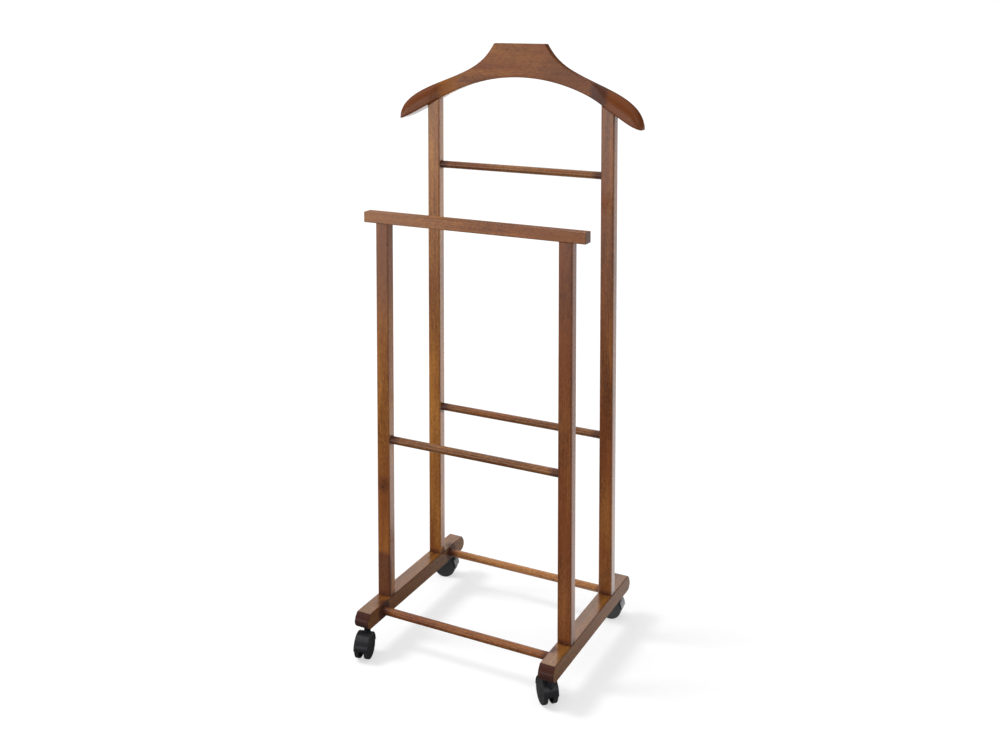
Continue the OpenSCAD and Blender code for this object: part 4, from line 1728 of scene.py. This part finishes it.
# Front left upright: darker towards the foot of its front face, a purple-brown patch near its top
# and a brown patch round the lower knot.
FRONT_LEFT_PATCHES = (
    StainAndPaintedLightPool((*FRONT_LEFT_FACE, 0.105), 38.0 * MM, 50.0 * MM, (1.4, 8.0, 1.0),
              (0.105, 0.024, 0.008)),
    StainAndPaintedLightPool((*FRONT_LEFT_FACE, 0.67), 30.0 * MM, 170.0 * MM, (0.5, 1.0, 1.0),
              (0.21, 0.082, 0.050), 0.6),
    StainAndPaintedLightPool((FRONT_LEFT_FACE[0] + 1.0 * MM, FRONT_LEFT_FACE[1], 0.266), 4.0 * MM, 17.0 * MM,
              (1.0, 4.0, 0.8), (0.075, 0.022, 0.009), 0.55, 0.0),
)
# Rail: the pale pink patch towards the left end is a painted sheen; the right end is darker.
RAIL_PAINTED_SHEEN_AND_DARK_END = (
    StainAndPaintedLightPool((-0.21, -FRAME_Y, 0.718), 0.05, 0.22, colour=(0.50, 0.24, 0.11), strength=0.40),
    StainAndPaintedLightPool((0.22, -FRAME_Y, 0.718), 0.03, 0.16, colour=(0.17, 0.050, 0.014), strength=0.5),
)
# Hanger: a painted golden reflection on the left cove, darker stain on both shoulders, a darker
# brown patch on the right neck and painted shade on the right cove.
HANGER_STAIN_AND_PAINTED_LIGHT = (
    StainAndPaintedLightPool((-0.137, 0.075, 0.925), 9.0 * MM, 26.0 * MM, (1.0, 0.3, 0.5), GOLDEN_PAINTED_REFLECTION, 0.9, 0.0),
    StainAndPaintedLightPool((-0.215, 0.075, 0.87), 45.0 * MM, 66.0 * MM, (1.0, 0.3, 0.3), AMBER, 0.85, 0.0),
    StainAndPaintedLightPool((0.215, 0.075, 0.87), 45.0 * MM, 66.0 * MM, (1.0, 0.3, 0.3), AMBER, 0.85, 0.0),
    StainAndPaintedLightPool((0.10, 0.075, 0.94), 30.0 * MM, 80.0 * MM, (1.0, 0.3, 0.5),
              (0.15, 0.048, 0.018), 0.5, 0.0),
    StainAndPaintedLightPool((0.149, 0.075, 0.922), 11.0 * MM, 22.0 * MM, (1.0, 0.3, 0.6), UMBER_PAINTED_SHADE, 0.85, 0.0),
)


@dataclass
class ValetStand:
    """The whole stand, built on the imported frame."""

    frame: dict[str, Any]

    def upright(self, end: str, side: str, x: float, y: float) -> None:
        """Makes one upright, with stain at its foot and where a dowel enters it.

        Args:
            end: "front" or "rear".
            side: "left" or "right".
            x: Place across.
            y: Place from front to back.
        """
        name = f"{end}_{side}_upright"
        dowels = (0.342,) if end == "front" else (0.342, 0.787)
        pools = [StainAndPaintedLightPool((x, y, 0.073), 4.0 * MM, 12.0 * MM, (0.5, 0.5, 1.0))]
        pools += [StainAndPaintedLightPool((x * 0.93, y, z), 6.5 * MM, 10.0 * MM, colour=JOINT_BROWN)
                  for z in dowels]
        marked = name == "front_left_upright"
        wood = StainedWood(
            f"stained_wood_{name}", GrainAxis.ALONG_Z, board_offset=(2.0 * x, 3.0 * y, 0.4 * y),
            edge_stain=0.15, knots=KNOTS if marked else (),
            pools=(*pools, *(FRONT_LEFT_PATCHES if marked else ())), **UPRIGHT_TONES[end, side])
        Upright(name, wood, REAR_TOP_SLOPE[side] if end == "rear" else 0.0).build()

    def foot_bar(self, side: str, x: float) -> None:
        """Makes one foot bar, with stain round the uprights and where the base dowels enter it.

        Args:
            side: "left" or "right".
            x: Place across.
        """
        pools = [StainAndPaintedLightPool((x, y, 0.073), 11.0 * MM, 16.0 * MM, (1.0, 1.25, 2.0))
                 for y in (-FRAME_Y, FRAME_Y)]
        pools += [StainAndPaintedLightPool((x * 0.922, y, 0.060), 12.0 * MM, 20.0 * MM, colour=BAR_BROWN,
                            strength=0.9) for y in (-0.115, 0.115)]
        FootBar(f"{side}_foot_bar", StainedWood(
            f"stained_wood_{side}_foot_bar", GrainAxis.ALONG_Y, board_offset=(x, 0.3, 0.1),
            pools=tuple(pools), side_matt=FOOT_BAR_SIDE_MATT[side], **FOOT_BAR_TONES)).build()

    def wood(self) -> None:
        """Makes the wooden pieces."""
        for side, sign in SIDES.items():
            self.foot_bar(side, sign * UPRIGHT_X)
            for end, y in (("front", -FRAME_Y), ("rear", FRAME_Y)):
                self.upright(end, side, sign * UPRIGHT_X, y)
        TopRail(StainedWood("stained_wood_rail", GrainAxis.ALONG_X, pools=RAIL_PAINTED_SHEEN_AND_DARK_END,
                            board_offset=(0.2, 0.4, 0.3))).build()
        ends = tuple(StainAndPaintedLightPool((x, 0.0, 0.0), 18.5 * MM, 33.0 * MM, (1.0, 0.0, 0.0))
                     for x in (-UPRIGHT_X, UPRIGHT_X))
        for name, (nodes, pale, deep) in DOWEL_TONES.items():
            CrossDowels(StainedWood(f"stained_wood_{name}", GrainAxis.ALONG_X, pale, deep,
                                    edge_stain=0.0, pools=ends), nodes).build()
        HangerBoard(StainedWood(
            "stained_wood_hanger", GrainAxis.ALONG_X, (0.38, 0.140, 0.034), (0.145, 0.042, 0.011),
            board_offset=(0.05, 0.15, 0.35), pith=(0.30, 0.9), end_turn=(0.9, 1.2),
            coat=0.0, ior=1.38, edge_stain=0.3, pools=HANGER_STAIN_AND_PAINTED_LIGHT)).build()

    def hardware(self) -> None:
        """Makes the bolts and dresses the hidden joint parts."""
        BoltSet(PlatedMetal("zinc_plate", (0.62, 0.63, 0.64), (0.42, 0.43, 0.45))).build()
        beech = BareBeech().build()
        brass = PlatedMetal("brass_insert", (0.72, 0.55, 0.26), (0.50, 0.36, 0.16), 0.32).build()
        for name, finish in (("rail_pins", beech), ("hanger_pins", beech),
                             ("threaded_inserts", brass)):
            dress(self.frame["nodes"], name, finish)

    def casters(self) -> None:
        """Makes the wheels and dresses each hood, stem, ring, axle and socket."""
        hood = MouldedPlastic(
            "hood_plastic", (0.015, 0.0155, 0.0185), (0.028, 0.0285, 0.032), 0.27,
            scuffs=0.15, dust=0.03).build()
        wheel = MouldedPlastic(
            "wheel_plastic", (0.025, 0.025, 0.026), (0.040, 0.040, 0.041), 0.50,
            scuffs=0.15).build()
        socket = MouldedPlastic(
            "socket_plastic", (0.015, 0.015, 0.016), (0.04, 0.04, 0.042), 0.5).build()
        steel = PlatedMetal("caster_steel", (0.60, 0.61, 0.63), (0.40, 0.41, 0.43), 0.3).build()
        finishes = {
            "hood": hood, "socket": socket, "stem": steel, "grip_ring": steel, "axle": steel}
        for site in CasterSite:
            caster = Caster(site, wheel)
            caster.build()
            for part, finish in finishes.items():
                dress(self.frame["nodes"], f"{caster.name}_caster_{part}", finish)

    def build(self) -> None:
        """Makes every piece of the stand."""
        self.wood()
        self.hardware()
        self.casters()


def main() -> None:
    """Builds the stand and the studio."""
    logging.basicConfig(level=logging.INFO, format="%(name)s: %(message)s")
    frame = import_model()
    Studio().build()
    ValetStand(frame).build()
    bpy.context.view_layer.update()


if __name__ == "__main__":
    main()
